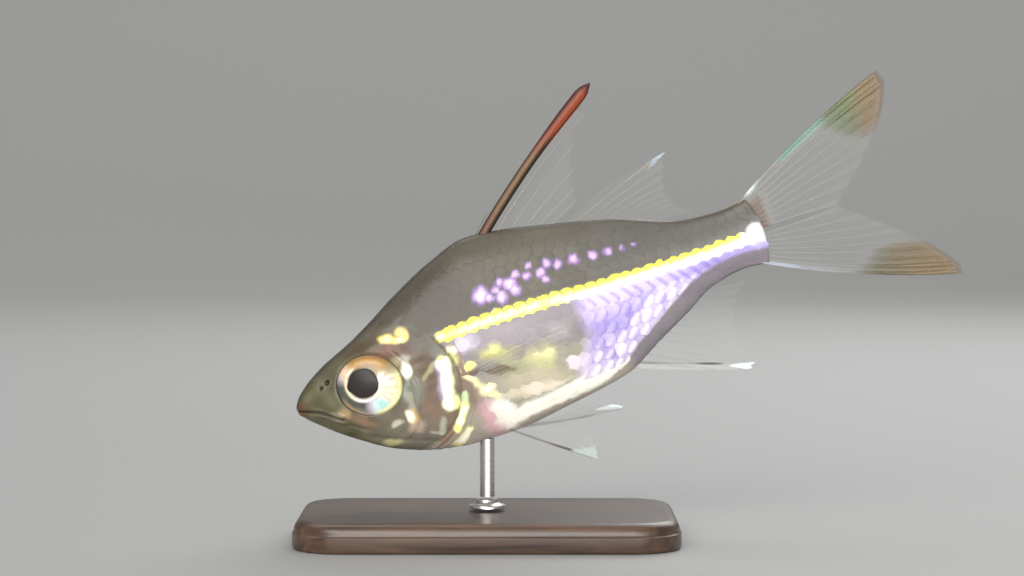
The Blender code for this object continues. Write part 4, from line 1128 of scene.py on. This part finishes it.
def build_pupil(side, name, look):
    """The lens in the pupil: a low dark dome, a little square, with a slight point low in front."""
    around, rings = 64, 12
    radius = EYE_RADIUS * LENGTH
    size = PUPIL_RADIUS * LENGTH
    angle = 2 * math.pi * np.arange(around) / around
    square = (np.abs(np.cos(angle)) ** 2.15 + np.abs(np.sin(angle)) ** 2.15) ** (-1 / 2.15)
    square = square * (1 + 0.03 * np.cos(2 * (angle + NOSE_DOWN)))
    point = square * (1 + 0.16 * np.exp(-(((angle - math.radians(180)) / 0.26) ** 2)))
    t = np.linspace(0, 1, rings + 1)[1:]
    x = PUPIL_PLACE[0] * LENGTH + size * t[:, None] * np.cos(angle) * point
    z = PUPIL_PLACE[1] * LENGTH + size * t[:, None] * np.sin(angle) * point
    share = np.hypot(x, z) / radius
    dome = EYE_DOME * np.sqrt(np.maximum(1 - share**2.15, 0))
    height = dome + 0.00015 * (1 - t[:, None] ** 2) - 0.00005 * (t[:, None] > 0.97)
    points = eye_point(x, z, height, side).reshape(-1, 3)
    middle = [np.full(2, share * LENGTH) for share in PUPIL_PLACE]
    ends = eye_point(*middle, np.array([EYE_DOME + 0.00012, EYE_DOME - 0.0006]), side)
    points = np.concatenate([points, ends])
    faces = grid_faces(rings, around, closed=True)
    faces += end_caps(rings, around, rings * around, rings * around + 1)
    return add_piece(name, points, faces, look)


def build_orbit_ring(side, name, look):
    """The thin raised edge of skin round the eye, which hides where the skin dips into the socket."""
    around, sides = 120, 10
    angle = 2 * math.pi * np.arange(around) / around
    reach = (EYE_RADIUS + 0.0018) * eye_shape(angle)
    along, up = EYE_PLACE[0] + reach * np.cos(angle), EYE_PLACE[1] + reach * np.sin(angle)
    out = side_of_body(along, up) - COAT_DEPTH
    turn = 2 * math.pi * np.arange(sides) / sides
    width, high = 0.00012, 0.00011
    ring_reach = reach[:, None] + width / LENGTH * np.cos(turn)
    x = (EYE_PLACE[0] + ring_reach * np.cos(angle)[:, None]) * LENGTH
    z = (EYE_PLACE[1] + ring_reach * np.sin(angle)[:, None]) * LENGTH
    y = side * (out[:, None] + high * np.sin(turn)[None, :])
    points = np.stack([x, y, z], -1).reshape(-1, 3)
    faces = []
    for n in range(around):
        here, beyond = n * sides, (n + 1) % around * sides
        for k in range(sides):
            after = (k + 1) % sides
            faces.append((here + k, here + after, beyond + after, beyond + k))
    piece = add_piece(name, points, faces, look)
    along, up = points[:, 0] / LENGTH, points[:, 2] / LENGTH
    colour, shine = head_colours(along, up)
    bottom = ramp(EYE_PLACE[1] - up, 0.02, 0.06)
    colour = mix(colour, (0.06, 0.035, 0.02), 0.25 * (1 - bottom))
    store_marks(piece, colour, shine=shine, pigment=0.5 + 0 * shine)
    return piece


def pupil_material():
    """A nearly black lens with a faint cloud in it."""
    made, tree, surface = start_material("black lens")
    haze = {"Colour": (0.026, 0.022, 0.019, 1), "Glint": 0.5, "Hue play": 0.1}
    cloud = add_node(tree, "Group", haze, node_tree=GUANINE)
    fill_in(tree, surface, {
        "Base Color": cloud.outputs["Colour"],
        "Roughness": 0.4,
        "Specular IOR Level": 0.22,
        "Coat Weight": 0.06,
        "Coat Roughness": 0.2,
    })
    return made


# Fins

WEB_HALF = 0.00006
RAY_SUNK = 0.0011  # how deep the rays start inside the flesh


def sample_line(line, share):
    """Points at shares of a line of points, for arrays of shares."""
    line = np.asarray(line)
    place = np.clip(share, 0, 1) * (len(line) - 1)
    k = np.minimum(place.astype(int), len(line) - 2)
    t = (place - k)[..., None]
    return line[k] * (1 - t) + line[k + 1] * t


def fin_grid(lines, radii, branch, notch, side, blade=None, rows=30):
    """Points of one fin on both faces, and each point's ray, order and reach masks.

    Each ray is a ridge of its own radius on a thin web. Soft rays fork in two past the share branch of their
    length. The web ends short of the ray tips by notch. blade is the number of a ray that is wide and flat.
    """
    last = len(lines) - 1
    reach = np.linspace(0, 1, rows + 1)
    columns = []
    marks = [
        (-1, -1.0, 0.0), (-1, -0.55, 0.8), (-1, -0.05, 1.0), (0, 0.0, None),
        (1, 0.05, 1.0), (1, 0.55, 0.8), (1, 1.0, 0.0),
    ]
    for i in range(last + 1):
        fork = 0.17 * ramp(reach, branch, 1.05) if 0 < branch < 1 else 0 * reach
        for part, offset, level in marks:
            columns.append((i, part, offset, level, fork))
        if i < last:
            for share in (0.32, 0.5, 0.68):
                columns.append((i, share, None, -1.0, fork))
    near, far, ray_mask, order, reach_mask = [], [], [], [], []
    for i, part, offset, level, fork in columns:
        line = lines[i]
        if offset is None:
            end = 1 - notch * 4 * part * (1 - part)
            here = sample_line(line, reach * end) * (1 - part) + sample_line(lines[i + 1], reach * end) * part
            thick = np.full(rows + 1, WEB_HALF)
            mask = 0 * reach
            place = i + part
        else:
            end = 1 - notch * 0.25 * abs(offset)
            here = sample_line(line, reach * end)
            step = part or 1
            sign = 1 if 0 <= i + step <= last else -1
            j = i + sign * step
            toward = sample_line(lines[j], reach * end) - here
            run = np.gradient(here, axis=0)
            run = run / np.maximum(np.linalg.norm(run, axis=-1, keepdims=True), 1e-9)
            gap = np.linalg.norm(toward, axis=-1, keepdims=True)
            toward = toward / np.maximum(gap, 1e-9) * sign
            radius = radii[i] * (1 - 0.62 * reach)
            limit = 0.3 * gap
            if i == blade:
                round_tip = np.sqrt(np.clip((1.006 - reach) / 0.06, 0, 1))
                radius = radii[i] * (0.86 + 0.2 * ramp(reach, 0.5, 0.88)) * round_tip
                square = np.cross(side, run)
                rearward = np.sign(np.sum(square * (lines[i + 1][12] - lines[i][12])))
                toward = square * (rearward * (part or 1))
                limit = np.full_like(gap, 1.0)
            shift = (abs(offset) * radius + fork * gap[:, 0] * (1 if part else 0))[:, None]
            here = here + toward * np.minimum(shift, limit)
            if level is None:
                level_now = 1 - 0.8 * ramp(fork, 0.01, 0.06)
            else:
                level_now = level + 0 * reach
            thick = np.maximum(radius * level_now * (0.55 if i == blade else 1), WEB_HALF * 1.1)
            mask = level_now
            place = float(i)
        near.append(here - side * thick[:, None])
        far.append(here + side * thick[:, None])
        ray_mask.append(mask)
        order.append(np.full(rows + 1, place / last))
        reach_mask.append(reach)
    return np.array(near), np.array(far), np.array(ray_mask), np.array(order), np.array(reach_mask)


def build_fin(
    name, lines, radii, look, paint, branch=0.5, notch=0.04, side=(0, 1, 0), blade=None
):
    """One fin as a closed mesh. paint gives its Coat from the masks and the places on the fish."""
    side = np.asarray(side, float)
    near, far, rays, order, reach = fin_grid(lines, radii, branch, notch, side, blade)
    columns, per = near.shape[:2]
    points = np.concatenate([near.reshape(-1, 3), far.reshape(-1, 3)])
    offset = columns * per
    faces = grid_faces(columns, per) + [tuple(reversed(f)) for f in grid_faces(columns, per, start=offset)]
    rim = [(c * per, (c + 1) * per) for c in range(columns - 1)]
    rim += [((c + 1) * per + per - 1, c * per + per - 1) for c in range(columns - 1)]
    rim += [(n + 1, n) for n in range(per - 1)]
    rim += [((columns - 1) * per + n, (columns - 1) * per + n + 1) for n in range(per - 1)]
    faces += [(a, b, b + offset, a + offset) for a, b in rim]
    piece = add_piece(name, points, faces, look, replaces=[name])
    both = [np.concatenate([m.ravel(), m.ravel()]) for m in (rays, order, reach)]
    along, up = points[:, 0] / LENGTH, points[:, 2] / LENGTH
    coat = paint(*both, along, up)
    dark = np.clip(0.3 + 0.4 * both[0], 0, 1)
    store_marks(piece, coat.colour, shine=coat.shine, cover=np.clip(coat.cover, 0, 1), pigment=dark)


def fin_material(name, specks, coat=0.12, gloss=0.32):
    """A clear fin web with a few dark specks. How clear it is comes from the stored cover."""
    made, tree, surface = start_material(name)
    markings = read_attribute(tree, "markings", "Color")
    pigment = add_node(tree, "Group", {"Colour": markings, "Amount": specks}, node_tree=SPECKS)
    crystals = add_node(tree, "Group", {"Glint": 0.2, "Hue play": 0.05}, node_tree=GUANINE)
    fill_in(tree, surface, {
        "Base Color": pigment.outputs["Colour"],
        "Alpha": read_attribute(tree, "cover", "Fac"),
        "Metallic": read_attribute(tree, "shine", "Fac"),
        "Roughness": crystals.outputs["Roughness"],
        "IOR": 1.4,
        "Specular IOR Level": gloss,
        "Coat Weight": coat,
        "Coat Roughness": 0.22,
        "Normal": add_bump(tree, crystals.outputs["Height"], 0.3, 0.00003),
    })
    return made


def middle_lines(roots, tips, bows):
    """Rays of a fin in the middle plane, from (along, up) roots and tips, sunk into the flesh."""
    lines = []
    for root, tip, bow in zip(roots, tips, bows):
        start = np.array([root[0] * LENGTH, 0, root[1] * LENGTH])
        end = np.array([tip[0] * LENGTH, 0, tip[1] * LENGTH])
        run = end - start
        start = start - run / np.linalg.norm(run) * RAY_SUNK
        run = end - start
        lift = np.array([-run[2], 0, run[0]]) * bow
        t = np.linspace(0, 1, 25)[:, None]
        lines.append(start + run * t + lift * 4 * t * (1 - t))
    return lines


def wedge(along, up, start, end, width):
    """1 on a flat drop that starts as a point and is widest, width to each side, at its end."""
    run, rise = end[0] - start[0], end[1] - start[1]
    size = math.hypot(run, rise)
    t = ((along - start[0]) * run + (up - start[1]) * rise) / size**2
    off = np.abs((along - start[0]) * rise - (up - start[1]) * run) / size
    inside = fade(off / (width * (0.12 + 0.88 * np.clip(t, 0, 1))), 0.75, 1.2)
    return inside * ramp(t, -0.02, 0.1)


def spiny_paint(rays, order, reach, along, up):
    """Front back fin: a tan to red long spine with dark edges and a black tip, and a smoky clear web."""
    coat = Coat((0.34, 0.33, 0.29), rays, cover=0.05 + 0.28 * rays)
    coat.lay((0.17, 0.155, 0.13), 0.7 * (1 - rays) * fade(order, 0.3, 0.6))
    blade = fade(np.abs(order - 1 / 6), 0.001, 0.012)
    t = ((along - 0.474) * 0.302 + (up - 0.199) * 0.21) / 0.1353
    off = ((up - 0.199) * 0.302 - (along - 0.474) * 0.21) / 0.3678 - 0.0081 * 4 * t * (1 - t)
    warm = mix(one_colour((0.17, 0.1, 0.05), rays), (0.27, 0.056, 0.022), ramp(reach, 0.46, 0.72))
    warm = mix(warm, (0.15, 0.07, 0.046), 0.6 * fade(reach, 0.05, 0.25))
    coat.lay(warm, blade)
    coat.cover = coat.cover + (0.97 - coat.cover) * blade
    rear_edge = blade * ramp(-off, 0.0022, 0.0044) * fade(reach, 0.58, 0.74)
    coat.lay((0.03, 0.022, 0.016), rear_edge * 0.95)
    narrower = 0.003 * ramp(reach, 0.5, 0.8)
    front_edge = blade * ramp(off, 0.0045 - narrower, 0.0105 - narrower)
    coat.lay((0.085, 0.036, 0.034), front_edge * 0.85)
    coat.lay((0.045, 0.02, 0.032), blade * ramp(reach, 0.93, 0.985) * 0.9)
    behind = ramp(order, 0.165, 0.172) * (1 - blade)
    shadow = behind * fade(order, 0.19, 0.225) * fade(reach, 0.6, 0.8) * ramp(reach, 0.05, 0.15)
    coat.lay((0.055, 0.04, 0.03), 0.7 * shadow)
    coat.add(shadow, cover=0.4)
    red = behind * fade(order, 0.205, 0.275) * ramp(reach, 0.55, 0.75) * fade(reach, 0.97, 1.0)
    coat.lay((0.4, 0.095, 0.05), red * 0.95)
    coat.add(red, cover=0.7)
    first = fade(order, 0.0, 0.1)
    coat.lay((0.08, 0.06, 0.044), first * 0.9)
    coat.add(first * rays, cover=0.45)
    return coat


def back_fin_paint(rays, order, reach, along, up):
    """Rear back fin: clear, with faint rays and a small ice-blue tip in front."""
    clear = 0.035 + 0.14 * rays * (1 - 0.5 * ramp(reach, 0.5, 0.9))
    coat = Coat((0.34, 0.33, 0.29), rays, cover=clear)
    tip = wedge(along, up, (0.8245, 0.206), (0.865, 0.2325), 0.0078) * fade(order, 0.2, 0.28)
    coat.lay((0.24, 0.32, 0.38), tip)
    lead = fade(np.abs(order - 1 / 9), 0.02, 0.06) * rays
    coat.lay((0.38, 0.31, 0.23), 0.6 * lead * (1 - tip))
    coat.add(tip, 0.05, 0.85)
    coat.add(lead, cover=0.3)
    return coat


def anal_fin_paint(rays, order, reach, along, up):
    """Fin under the tail: clear, with a pale front edge, a dark line in front and an ice-white tip."""
    clear = 0.035 + 0.14 * rays * (1 - 0.5 * ramp(reach, 0.5, 0.9))
    coat = Coat((0.34, 0.33, 0.32), rays, cover=clear)
    front = streak(along, up, [(0.672, -0.16), (0.85, -0.23)], 0.0075, 0.5)
    coat.lay((0.52, 0.52, 0.5), front)
    coat.add(front, cover=0.22)
    line = streak(along, up, [(0.6777, -0.1533), (0.76, -0.186), (0.8277, -0.211)], 0.0019, 0.6)
    line = line * (0.45 + 0.55 * ramp(along, 0.775, 0.8))
    coat.lay((0.045, 0.036, 0.032), line * 0.9)
    coat.add(line, cover=0.7)
    tip = wedge(along, up, (0.842, -0.22), (0.889, -0.24), 0.009)
    coat.lay((0.78, 0.98, 1.0), tip)
    coat.add(tip, 0.05, 0.95)
    return coat


def tail_paint(upper):
    def paint(rays, order, reach, along, up):
        """A tail lobe: a painted pale glint at the root and a painted green sheen, both on the upper lobe,
        then yellow to olive orange at the tip.
        """
        clear = 0.04 + 0.16 * rays * (1 - 0.6 * ramp(along, 1.05, 1.2))
        coat = Coat((0.4, 0.4, 0.37), rays, 0.08 * fade(order, 0.05, 0.3), clear)
        start = 1.15 if upper else 1.13
        shape = fade(order, 0.34, 0.62 if upper else 0.55)
        share = ramp(along - 0.12 * order, start, start + 0.075) * shape
        turn_brown = ramp(along + 0.05 * order, 1.225, 1.3) if upper else ramp(along, 1.16, 1.32)
        green = (0.092, 0.135, 0.04) if upper else (0.124, 0.108, 0.05)
        tint = mix(one_colour(green, rays), (0.178, 0.102, 0.028), turn_brown)
        coat.lay(tint, np.clip(4 * share, 0, 1))
        coat.add(share * (1 - 0.15 * rays), cover=0.6 if upper else 0.54)
        if upper:
            # Painted sheen: a green streak along the upper lobe's front edge stands for reflected light.
            painted_sheen = fade(order, 0.02, 0.12) * ramp(along, 1.06, 1.1) * fade(along, 1.15, 1.2)
            coat.lay((0.17, 0.35, 0.27), np.clip(2 * painted_sheen, 0, 1) * 0.9)
            coat.add(painted_sheen, cover=0.36)
            # Painted glint: a pale flash of reflected light at the upper lobe's root.
            painted_root_glint = fade(order, 0.02, 0.1) * fade(along, 1.012, 1.024) * ramp(along, 0.985, 0.992)
            coat.lay((0.64, 0.72, 0.62), painted_root_glint)
            coat.add(painted_root_glint, cover=0.7)
            brown_root = ramp(order, 0.15, 0.3) * fade(along, 1.01, 1.03)
            coat.lay((0.2, 0.125, 0.09), brown_root * 0.9)
            coat.add(brown_root, cover=0.42)
        else:
            pale = fade(order, 0.02, 0.12) * (1 - 0.6 * ramp(along, 1.02, 1.06))
            pale = pale * fade(along, 1.06, 1.16)
            coat.lay((0.5, 0.54, 0.66), pale)
            coat.add(pale, cover=0.4)
        edge = fade(order, 0.0, 0.05) * rays * ramp(along, 1.16, 1.28)
        coat.lay((0.14, 0.12, 0.085), edge * 0.3)
        coat.cover = (coat.cover + 0.1 * edge) * (1 - 0.85 * ramp(reach, 0.94, 1.0))
        return coat
    return paint


def belly_fin_paint(rays, order, reach, along, up):
    """Belly fin: a fine dark line on its front edge, clear behind, with a blue-white tip."""
    coat = Coat((0.42, 0.4, 0.38), rays, cover=0.035 + 0.18 * rays)
    line = fade(np.abs(order - 0.02), 0.02, 0.08)
    coat.lay((0.1, 0.065, 0.042), line * 0.9 * fade(reach, 0.7, 0.8))
    coat.add((0.16 + 0.34 * ramp(-up, 0.23, 0.25)) * line * (1 - 0.6 * ramp(reach, 0.75, 0.85)), cover=1)
    low_tip = fade(order / (0.03 + 1.5 * np.clip(reach - 0.7, 0, 1)), 0.7, 1.2) * ramp(reach, 0.7, 0.77)
    low_tip = low_tip * ramp(-up, 0.24, 0.246)
    high_tip = wedge(along, up, (0.556, -0.2135), (0.618, -0.2265), 0.01)
    coat.lay((0.92, 1.0, 0.99), high_tip)
    coat.lay((0.42, 0.48, 0.45), low_tip)
    tip = np.maximum(low_tip, high_tip)
    coat.add(tip, 0.05, 0.95)
    return coat


def breast_fin_paint(rays, order, reach, along, up):
    """Breast fin: almost clear."""
    clear = 0.025 + 0.12 * rays * (1 - 0.4 * reach)
    return Coat((0.6, 0.58, 0.52), rays, cover=clear * ramp(reach, 0.08, 0.16))


def build_back_fins(look, red_look):
    first, last = (0.474, 0.199), (0.602, 0.168)
    roots = [(0.452, 0.2)]
    roots += [tuple(a + (b - a) * k / 5 for a, b in zip(first, last)) for k in range(6)]
    tips = [(0.492, 0.236), (0.776, 0.409), (0.748, 0.356), (0.704, 0.304), (0.686, 0.258), (0.676, 0.223)]
    tips.append((0.668, 0.196))
    bows = [0.0, 0.022, 0.03, 0.02, 0.01, 0.0, 0.0]
    radii = [0.00026, 0.0007, 0.00016, 0.00016, 0.00015, 0.00014, 0.00013]
    build_fin("dorsal_fin_spiny", middle_lines(roots, tips, bows), radii, red_look, spiny_paint, branch=0,
              notch=0.06,
              blade=1)
    count = 10
    roots, tips = [], []
    for k in range(count):
        share = k / (count - 1)
        along = 0.634 + 0.166 * share
        angle = math.radians(21.0 - 25.0 * share)
        length = 0.12 if k == 0 else 0.078 + 0.154 * (1 - (k - 1) / (count - 2)) ** 2.0
        root = (along, float(back(along)) - 0.004)
        roots.append(root)
        tips.append((root[0] + length * math.cos(angle), root[1] + length * math.sin(angle)))
    build_fin("dorsal_fin_soft", middle_lines(roots, tips, [0.012] * count),
              [0.00022] + [0.00016] * (count - 1), look,
              back_fin_paint, notch=0.02)


def build_anal_fin(look):
    spines, count = [0.085, 0.2, 0.212], 12
    roots, tips = [], []
    for k in range(count):
        share = k / (count - 1)
        along = 0.66 + 0.196 * share
        soft = (k - len(spines)) / (count - 1 - len(spines))
        angle = math.radians(-22.5 - 2.9 * k if k < len(spines) else -29.4 + 18.4 * soft)
        length = spines[k] if k < len(spines) else 0.075 + 0.132 * (1 - soft) ** 2.0
        root = (along, float(belly(along)) + 0.004)
        roots.append(root)
        tips.append((root[0] + length * math.cos(angle), root[1] + length * math.sin(angle)))
    radii = [0.00022, 0.00026, 0.00022] + [0.00016] * (count - len(spines))
    build_fin("anal_fin", middle_lines(roots, tips, [-0.012] * count), radii, look, anal_fin_paint,
              notch=0.02)


def build_tail_fin(look):
    count = 9
    for name, upper in (("tail_fin_upper", True), ("tail_fin_lower", False)):
        if upper:
            lobe_tip, bend, fork = (1.336, 0.2345), (1.322, 0.132), (1.165, 0.012)
            first_root, last_root = (0.978, 0.08), (1.0, 0.018)
        else:
            lobe_tip, bend, fork = (1.359, -0.21), (1.318, -0.12), (1.165, 0.0)
            first_root, last_root = (0.984, -0.051), (1.0, 0.004)
        roots, tips = [], []
        for k in range(count):
            share = k / (count - 1)
            roots.append(tuple(a + (b - a) * share for a, b in zip(first_root, last_root)))
            tips.append(tuple(
                (1 - share) ** 2 * a + 2 * share * (1 - share) * b + share**2 * c
                for a, b, c in zip(lobe_tip, bend, fork)
            ))
        tips[0] = tuple(a + (b - a) * 0.965 for a, b in zip(roots[0], tips[0]))
        bow = 0.028 if upper else -0.03
        lines = middle_lines(roots, tips, [bow * (1 - k / count) for k in range(count)])
        build_fin(name, lines, [0.00026] * 2 + [0.00017] * (count - 2), look, tail_paint(upper), branch=0.4,
                  notch=0.0)


def paired_lines(root_line, front_tip, rear_tip, curve, count, bow):
    """Rays of a breast or belly fin, from places (along, up, metres out). curve shapes its outer edge."""
    def place(at):
        return np.array([at[0] * LENGTH, at[2], at[1] * LENGTH])
    start, end = (place(p) for p in root_line)
    front, rear = place(front_tip), place(rear_tip)
    side = np.cross(front - start, rear - end)
    side = side / np.linalg.norm(side)
    lines = []
    for k in range(count):
        share = k / (count - 1)
        root = start + (end - start) * share
        tip = front + (rear - front) * share
        tip = tip + (tip - root) * curve * 4 * share * (1 - share)
        root = root - (tip - root) / np.linalg.norm(tip - root) * RAY_SUNK
        t = np.linspace(0, 1, 19)[:, None]
        lines.append(root + (tip - root) * t + side * bow * 4 * t * (1 - t))
    return lines, side


def build_paired_fins(look):
    for name, way in (("pectoral_fin_left", -1), ("pectoral_fin_right", 1)):
        ends = ((0.346, -0.048), (0.352, -0.104))
        root_line = [(along, up, way * (float(side_of_body(along, up)) - 0.0002)) for along, up in ends]
        front, rear = (0.56, -0.02, way * 0.0076), (0.472, -0.142, way * 0.0068)
        lines, side = paired_lines(root_line, front, rear, 0.14, 11, way * 0.0004)
        build_fin(name, lines, [0.00015] + [0.00009] * 10, look, breast_fin_paint, side=side, notch=0.01)
    tips = {
        "pelvic_fin_left": (-1, (0.531, -0.292, -0.0066), (0.528, -0.231, -0.003), 0.05),
        "pelvic_fin_right": (1, (0.608, -0.2325, 0.0032), (0.548, -0.2, 0.001), 0.13),
    }
    for name, (way, front, rear, curve) in tips.items():
        root_line = [(0.388, -0.188, way * 0.0014), (0.408, -0.19, way * 0.0009)]
        lines, side = paired_lines(root_line, front, rear, curve, 6, way * 0.0003)
        build_fin(name, lines, [0.00024] + [0.00016] * 5, look, belly_fin_paint, side=side, notch=0.01)


# Stand

def grained_material(name, grain, tones, rough, bump, finish):
    """A stand material. Drawn-out noise, its grain, gives the tone, the roughness and a fine relief."""
    made, tree, surface = start_material(name)
    lines = noise(tree, 1.0, **grain)
    tone = add_node(tree, "ValToRGB", {"Fac": lines})
    for stop, (position, colour) in zip(tone.color_ramp.elements, tones):
        stop.position = position
        stop.color = (*colour, 1)
    gloss = add_node(tree, "MapRange", {"Value": lines, "To Min": rough[0], "To Max": rough[1]})
    fill_in(tree, surface, {
        "Base Color": tone.outputs["Color"],
        "Roughness": gloss.outputs["Result"],
        "Normal": add_bump(tree, lines, *bump),
        **finish,
    })
    return made


def wood_material():
    """Dark stained wood, satin, with long grain."""
    grain = {"detail": 5, "stretch": (60, 700, 700), "distortion": 0.6}
    tones = [(0.32, (0.022, 0.012, 0.007)), (0.72, (0.105, 0.056, 0.03))]
    finish = {"Coat Weight": 0.25, "Coat Roughness": 0.25}
    return grained_material("dark stained wood", grain, tones, (0.3, 0.48), (0.25, 0.00005), finish)


def metal_material():
    """Brushed nickel with fine lines round the rod."""
    grain = {"detail": 2, "stretch": (300, 300, 9000)}
    tones = [(0.0, (0.46, 0.44, 0.41)), (1.0, (0.78, 0.76, 0.72))]
    return grained_material("brushed nickel", grain, tones, (0.22, 0.38), (0.15, 0.00002), {"Metallic": 1.0})


def turned_piece(name, profile, look, replaces, around=64):
    """A turned piece from (radius, height) pairs, closed at both ends."""
    angle = 2 * math.pi * np.arange(around) / around
    points = [(r * math.cos(a), r * math.sin(a), z) for r, z in profile for a in angle]
    points += [(0, 0, profile[0][1]), (0, 0, profile[-1][1])]
    faces = grid_faces(len(profile), around, closed=True)
    faces += end_caps(len(profile), around, len(points) - 2, len(points) - 1)
    return add_piece(name, points, faces, look, replaces=replaces, posed=False)


def build_stand():
    base_low, base_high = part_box("stand_base")
    size = [base_high[i] - base_low[i] for i in range(3)]
    corner, steps = 0.006, 14
    outline = []
    for n, (sx, sy) in enumerate(((1, 1), (-1, 1), (-1, -1), (1, -1))):
        for k in range(steps + 1):
            turn = math.radians(90 * n + 90 * k / steps)
            middle = (sx * (size[0] / 2 - corner), sy * (size[1] / 2 - corner))
            outline.append((*middle, math.cos(turn), math.sin(turn)))
    top = size[2]
    levels = [(0.0, 0.00035), (0.00012, 0.0001), (0.0004, 0.0)]
    levels += [(top - 0.0016, 0.0), (top - 0.0015, 0.00012), (top - 0.00138, 0.0002)]
    for k in range(9):
        turn = math.radians(90 * k / 8)
        levels.append((top - 0.0012 + 0.0012 * math.sin(turn), 0.0002 + 0.0012 * (1 - math.cos(turn))))
    points = [
        (x + (corner - inset) * c, y + (corner - inset) * s, z)
        for z, inset in levels
        for x, y, c, s in outline
    ]
    count = len(outline)
    faces = grid_faces(len(levels), count, closed=True)
    faces += [tuple(range(count)), tuple(range((len(levels) - 1) * count, len(levels) * count))]
    base = add_piece("stand_base", points, faces, wood_material(), replaces=["stand_base"],
                     posed=False)
    base.data.set_sharp_from_angle(angle=SHARP_EDGE)

    metal = metal_material()
    low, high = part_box("stand_collar")
    radius, foot, top = high[0], low[2], high[2]
    tall = top - foot
    profile = [(radius * 0.96, foot), (radius, foot + 0.06 * tall), (radius, foot + 0.3 * tall)]
    for degrees in range(0, 91, 10):
        turn = math.radians(degrees)
        height = foot + tall * (0.36 + 0.58 * (1 - math.cos(turn)))
        profile.append((radius * (0.98 - 0.36 * math.sin(turn)), height))
    profile.append((radius * 0.6, top))
    collar = turned_piece("stand_collar", profile, metal, ["stand_collar"])
    collar.data.set_sharp_from_angle(angle=SHARP_EDGE)
    low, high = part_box("stand_rod")
    radius = high[0]
    profile = [(radius, low[2]), (radius, low[2] + 0.0008), (radius, high[2] + 0.0002)]
    rod = turned_piece("stand_rod", profile, metal, ["stand_rod"])
    rod.data.set_sharp_from_angle(angle=SHARP_EDGE)


# Floor, lights and camera

def build_floor():
    """A pale floor that curves up into the backdrop."""
    width, front, flat, bend = 3.0, 4.0, 0.62, 0.8
    line = [(-front, 0.0)]
    for degrees in range(0, 91, 3):
        turn = math.radians(degrees)
        line.append((flat + bend * math.sin(turn), bend * (1 - math.cos(turn))))
    line.append((flat + bend, 1.8))
    points = [(x, y, z) for y, z in line for x in (-width, width)]
    faces = [(2 * k, 2 * k + 1, 2 * k + 3, 2 * k + 2) for k in range(len(line) - 1)]
    mesh = bpy.data.meshes.new("floor")
    mesh.from_pydata(points, [], faces)
    mesh.shade_smooth()
    floor = bpy.data.objects.new("floor", mesh)
    bpy.context.scene.collection.objects.link(floor)
    made, tree, surface = start_material("pale floor")
    fill_in(tree, surface, {"Base Color": (0.315, 0.312, 0.302, 1), "Roughness": 0.7})
    mesh.materials.append(made)


def add_light(name, place, target, size, power, colour=(1, 1, 1)):
    lamp = bpy.data.lights.new(name, "AREA")
    lamp.shape = "RECTANGLE"
    lamp.size, lamp.size_y = size
    lamp.energy = power
    lamp.color = colour
    light = bpy.data.objects.new(name, lamp)
    light.location = place
    light.rotation_mode = "QUATERNION"
    light.rotation_quaternion = (Vector(target) - Vector(place)).to_track_quat("-Z", "Y")
    bpy.context.scene.collection.objects.link(light)
    return light


def build_lights():
    middle = (0.005, 0, 0.03)
    add_light("key", (-0.22, -0.6, 0.34), middle, (0.44, 0.34), 3.3, (1.0, 0.985, 0.96))
    fill = add_light("low fill", (0.06, -0.6, 0.075), middle, (0.8, 0.13), 0.8)
    fill.data.spread = math.radians(80)
    add_light("rim", (0.2, 0.36, 0.36), middle, (0.4, 0.3), 1.6, (0.95, 0.98, 1.0))
    add_light("backdrop", (0.0, 0.45, 1.3), (0, 1.15, 0.0), (2.0, 0.9), 14.0)
    world = bpy.data.worlds.new("studio")
    world.use_nodes = True
    background = world.node_tree.nodes["Background"]
    fill_in(world.node_tree, background, {"Color": (0.95, 0.97, 1.0, 1), "Strength": 0.32})
    bpy.context.scene.world = world


# Where the photograph shows the snout tip and the tail's root, in its 1024 by 576 pixels
SNOUT_PIXEL = (298, 408)
TAIL_PIXEL = (765, 235)
IMAGE_WIDE, IMAGE_HIGH = 1024, 576
LOOK_DOWN = math.radians(2.5)


def build_camera():
    """A long lens at the fish's left side, a little above it, framed as the photograph is."""
    snout = Vector(to_world([[0, 0, 0]])[0])
    span = math.hypot(TAIL_PIXEL[0] - SNOUT_PIXEL[0], TAIL_PIXEL[1] - SNOUT_PIXEL[1])
    scale = LENGTH / span
    middle_x = snout.x + (IMAGE_WIDE / 2 - SNOUT_PIXEL[0]) * scale
    middle_z = snout.z + (SNOUT_PIXEL[1] - IMAGE_HIGH / 2) * scale / math.cos(LOOK_DOWN)
    camera = bpy.data.cameras.new("camera")
    camera.lens, camera.sensor_width = 100, 36
    distance = IMAGE_WIDE * scale * camera.lens / camera.sensor_width
    camera.clip_start, camera.clip_end = 0.01, 10
    looker = bpy.data.objects.new("camera", camera)
    looker.location = (middle_x, -distance * math.cos(LOOK_DOWN), middle_z + distance * math.sin(LOOK_DOWN))
    looker.rotation_euler = (math.radians(90) - LOOK_DOWN, 0, 0)
    bpy.context.scene.collection.objects.link(looker)
    bpy.context.scene.camera = looker


build_camera()
build_skin()
for way in (-1.0, 1.0):
    build_scales(way)
iris = fish_surface("iris", glint=0.08, hue=0.01, specks=0.0, coat=0.3, bump=0.1)
lens = pupil_material()
rim_skin = fish_surface("eye rim skin", glint=0.15, hue=0.02, specks=0.3, coat=0.4, bump=0.3)
for way, place in ((-1.0, "left"), (1.0, "right")):
    build_eye(way, "eye_" + place, iris)
    build_pupil(way, "pupil_" + place, lens)
    build_orbit_ring(way, "orbit_" + place, rim_skin)
clear_web = fin_material("clear fin web", 0.25)
red_web = fin_material("smoky fin web", 0.35, coat=0.05, gloss=0.25)
build_back_fins(clear_web, red_web)
build_anal_fin(clear_web)
build_tail_fin(clear_web)
build_paired_fins(clear_web)
build_stand()
build_floor()
build_lights()
bpy.context.scene.view_settings.view_transform = "Standard"
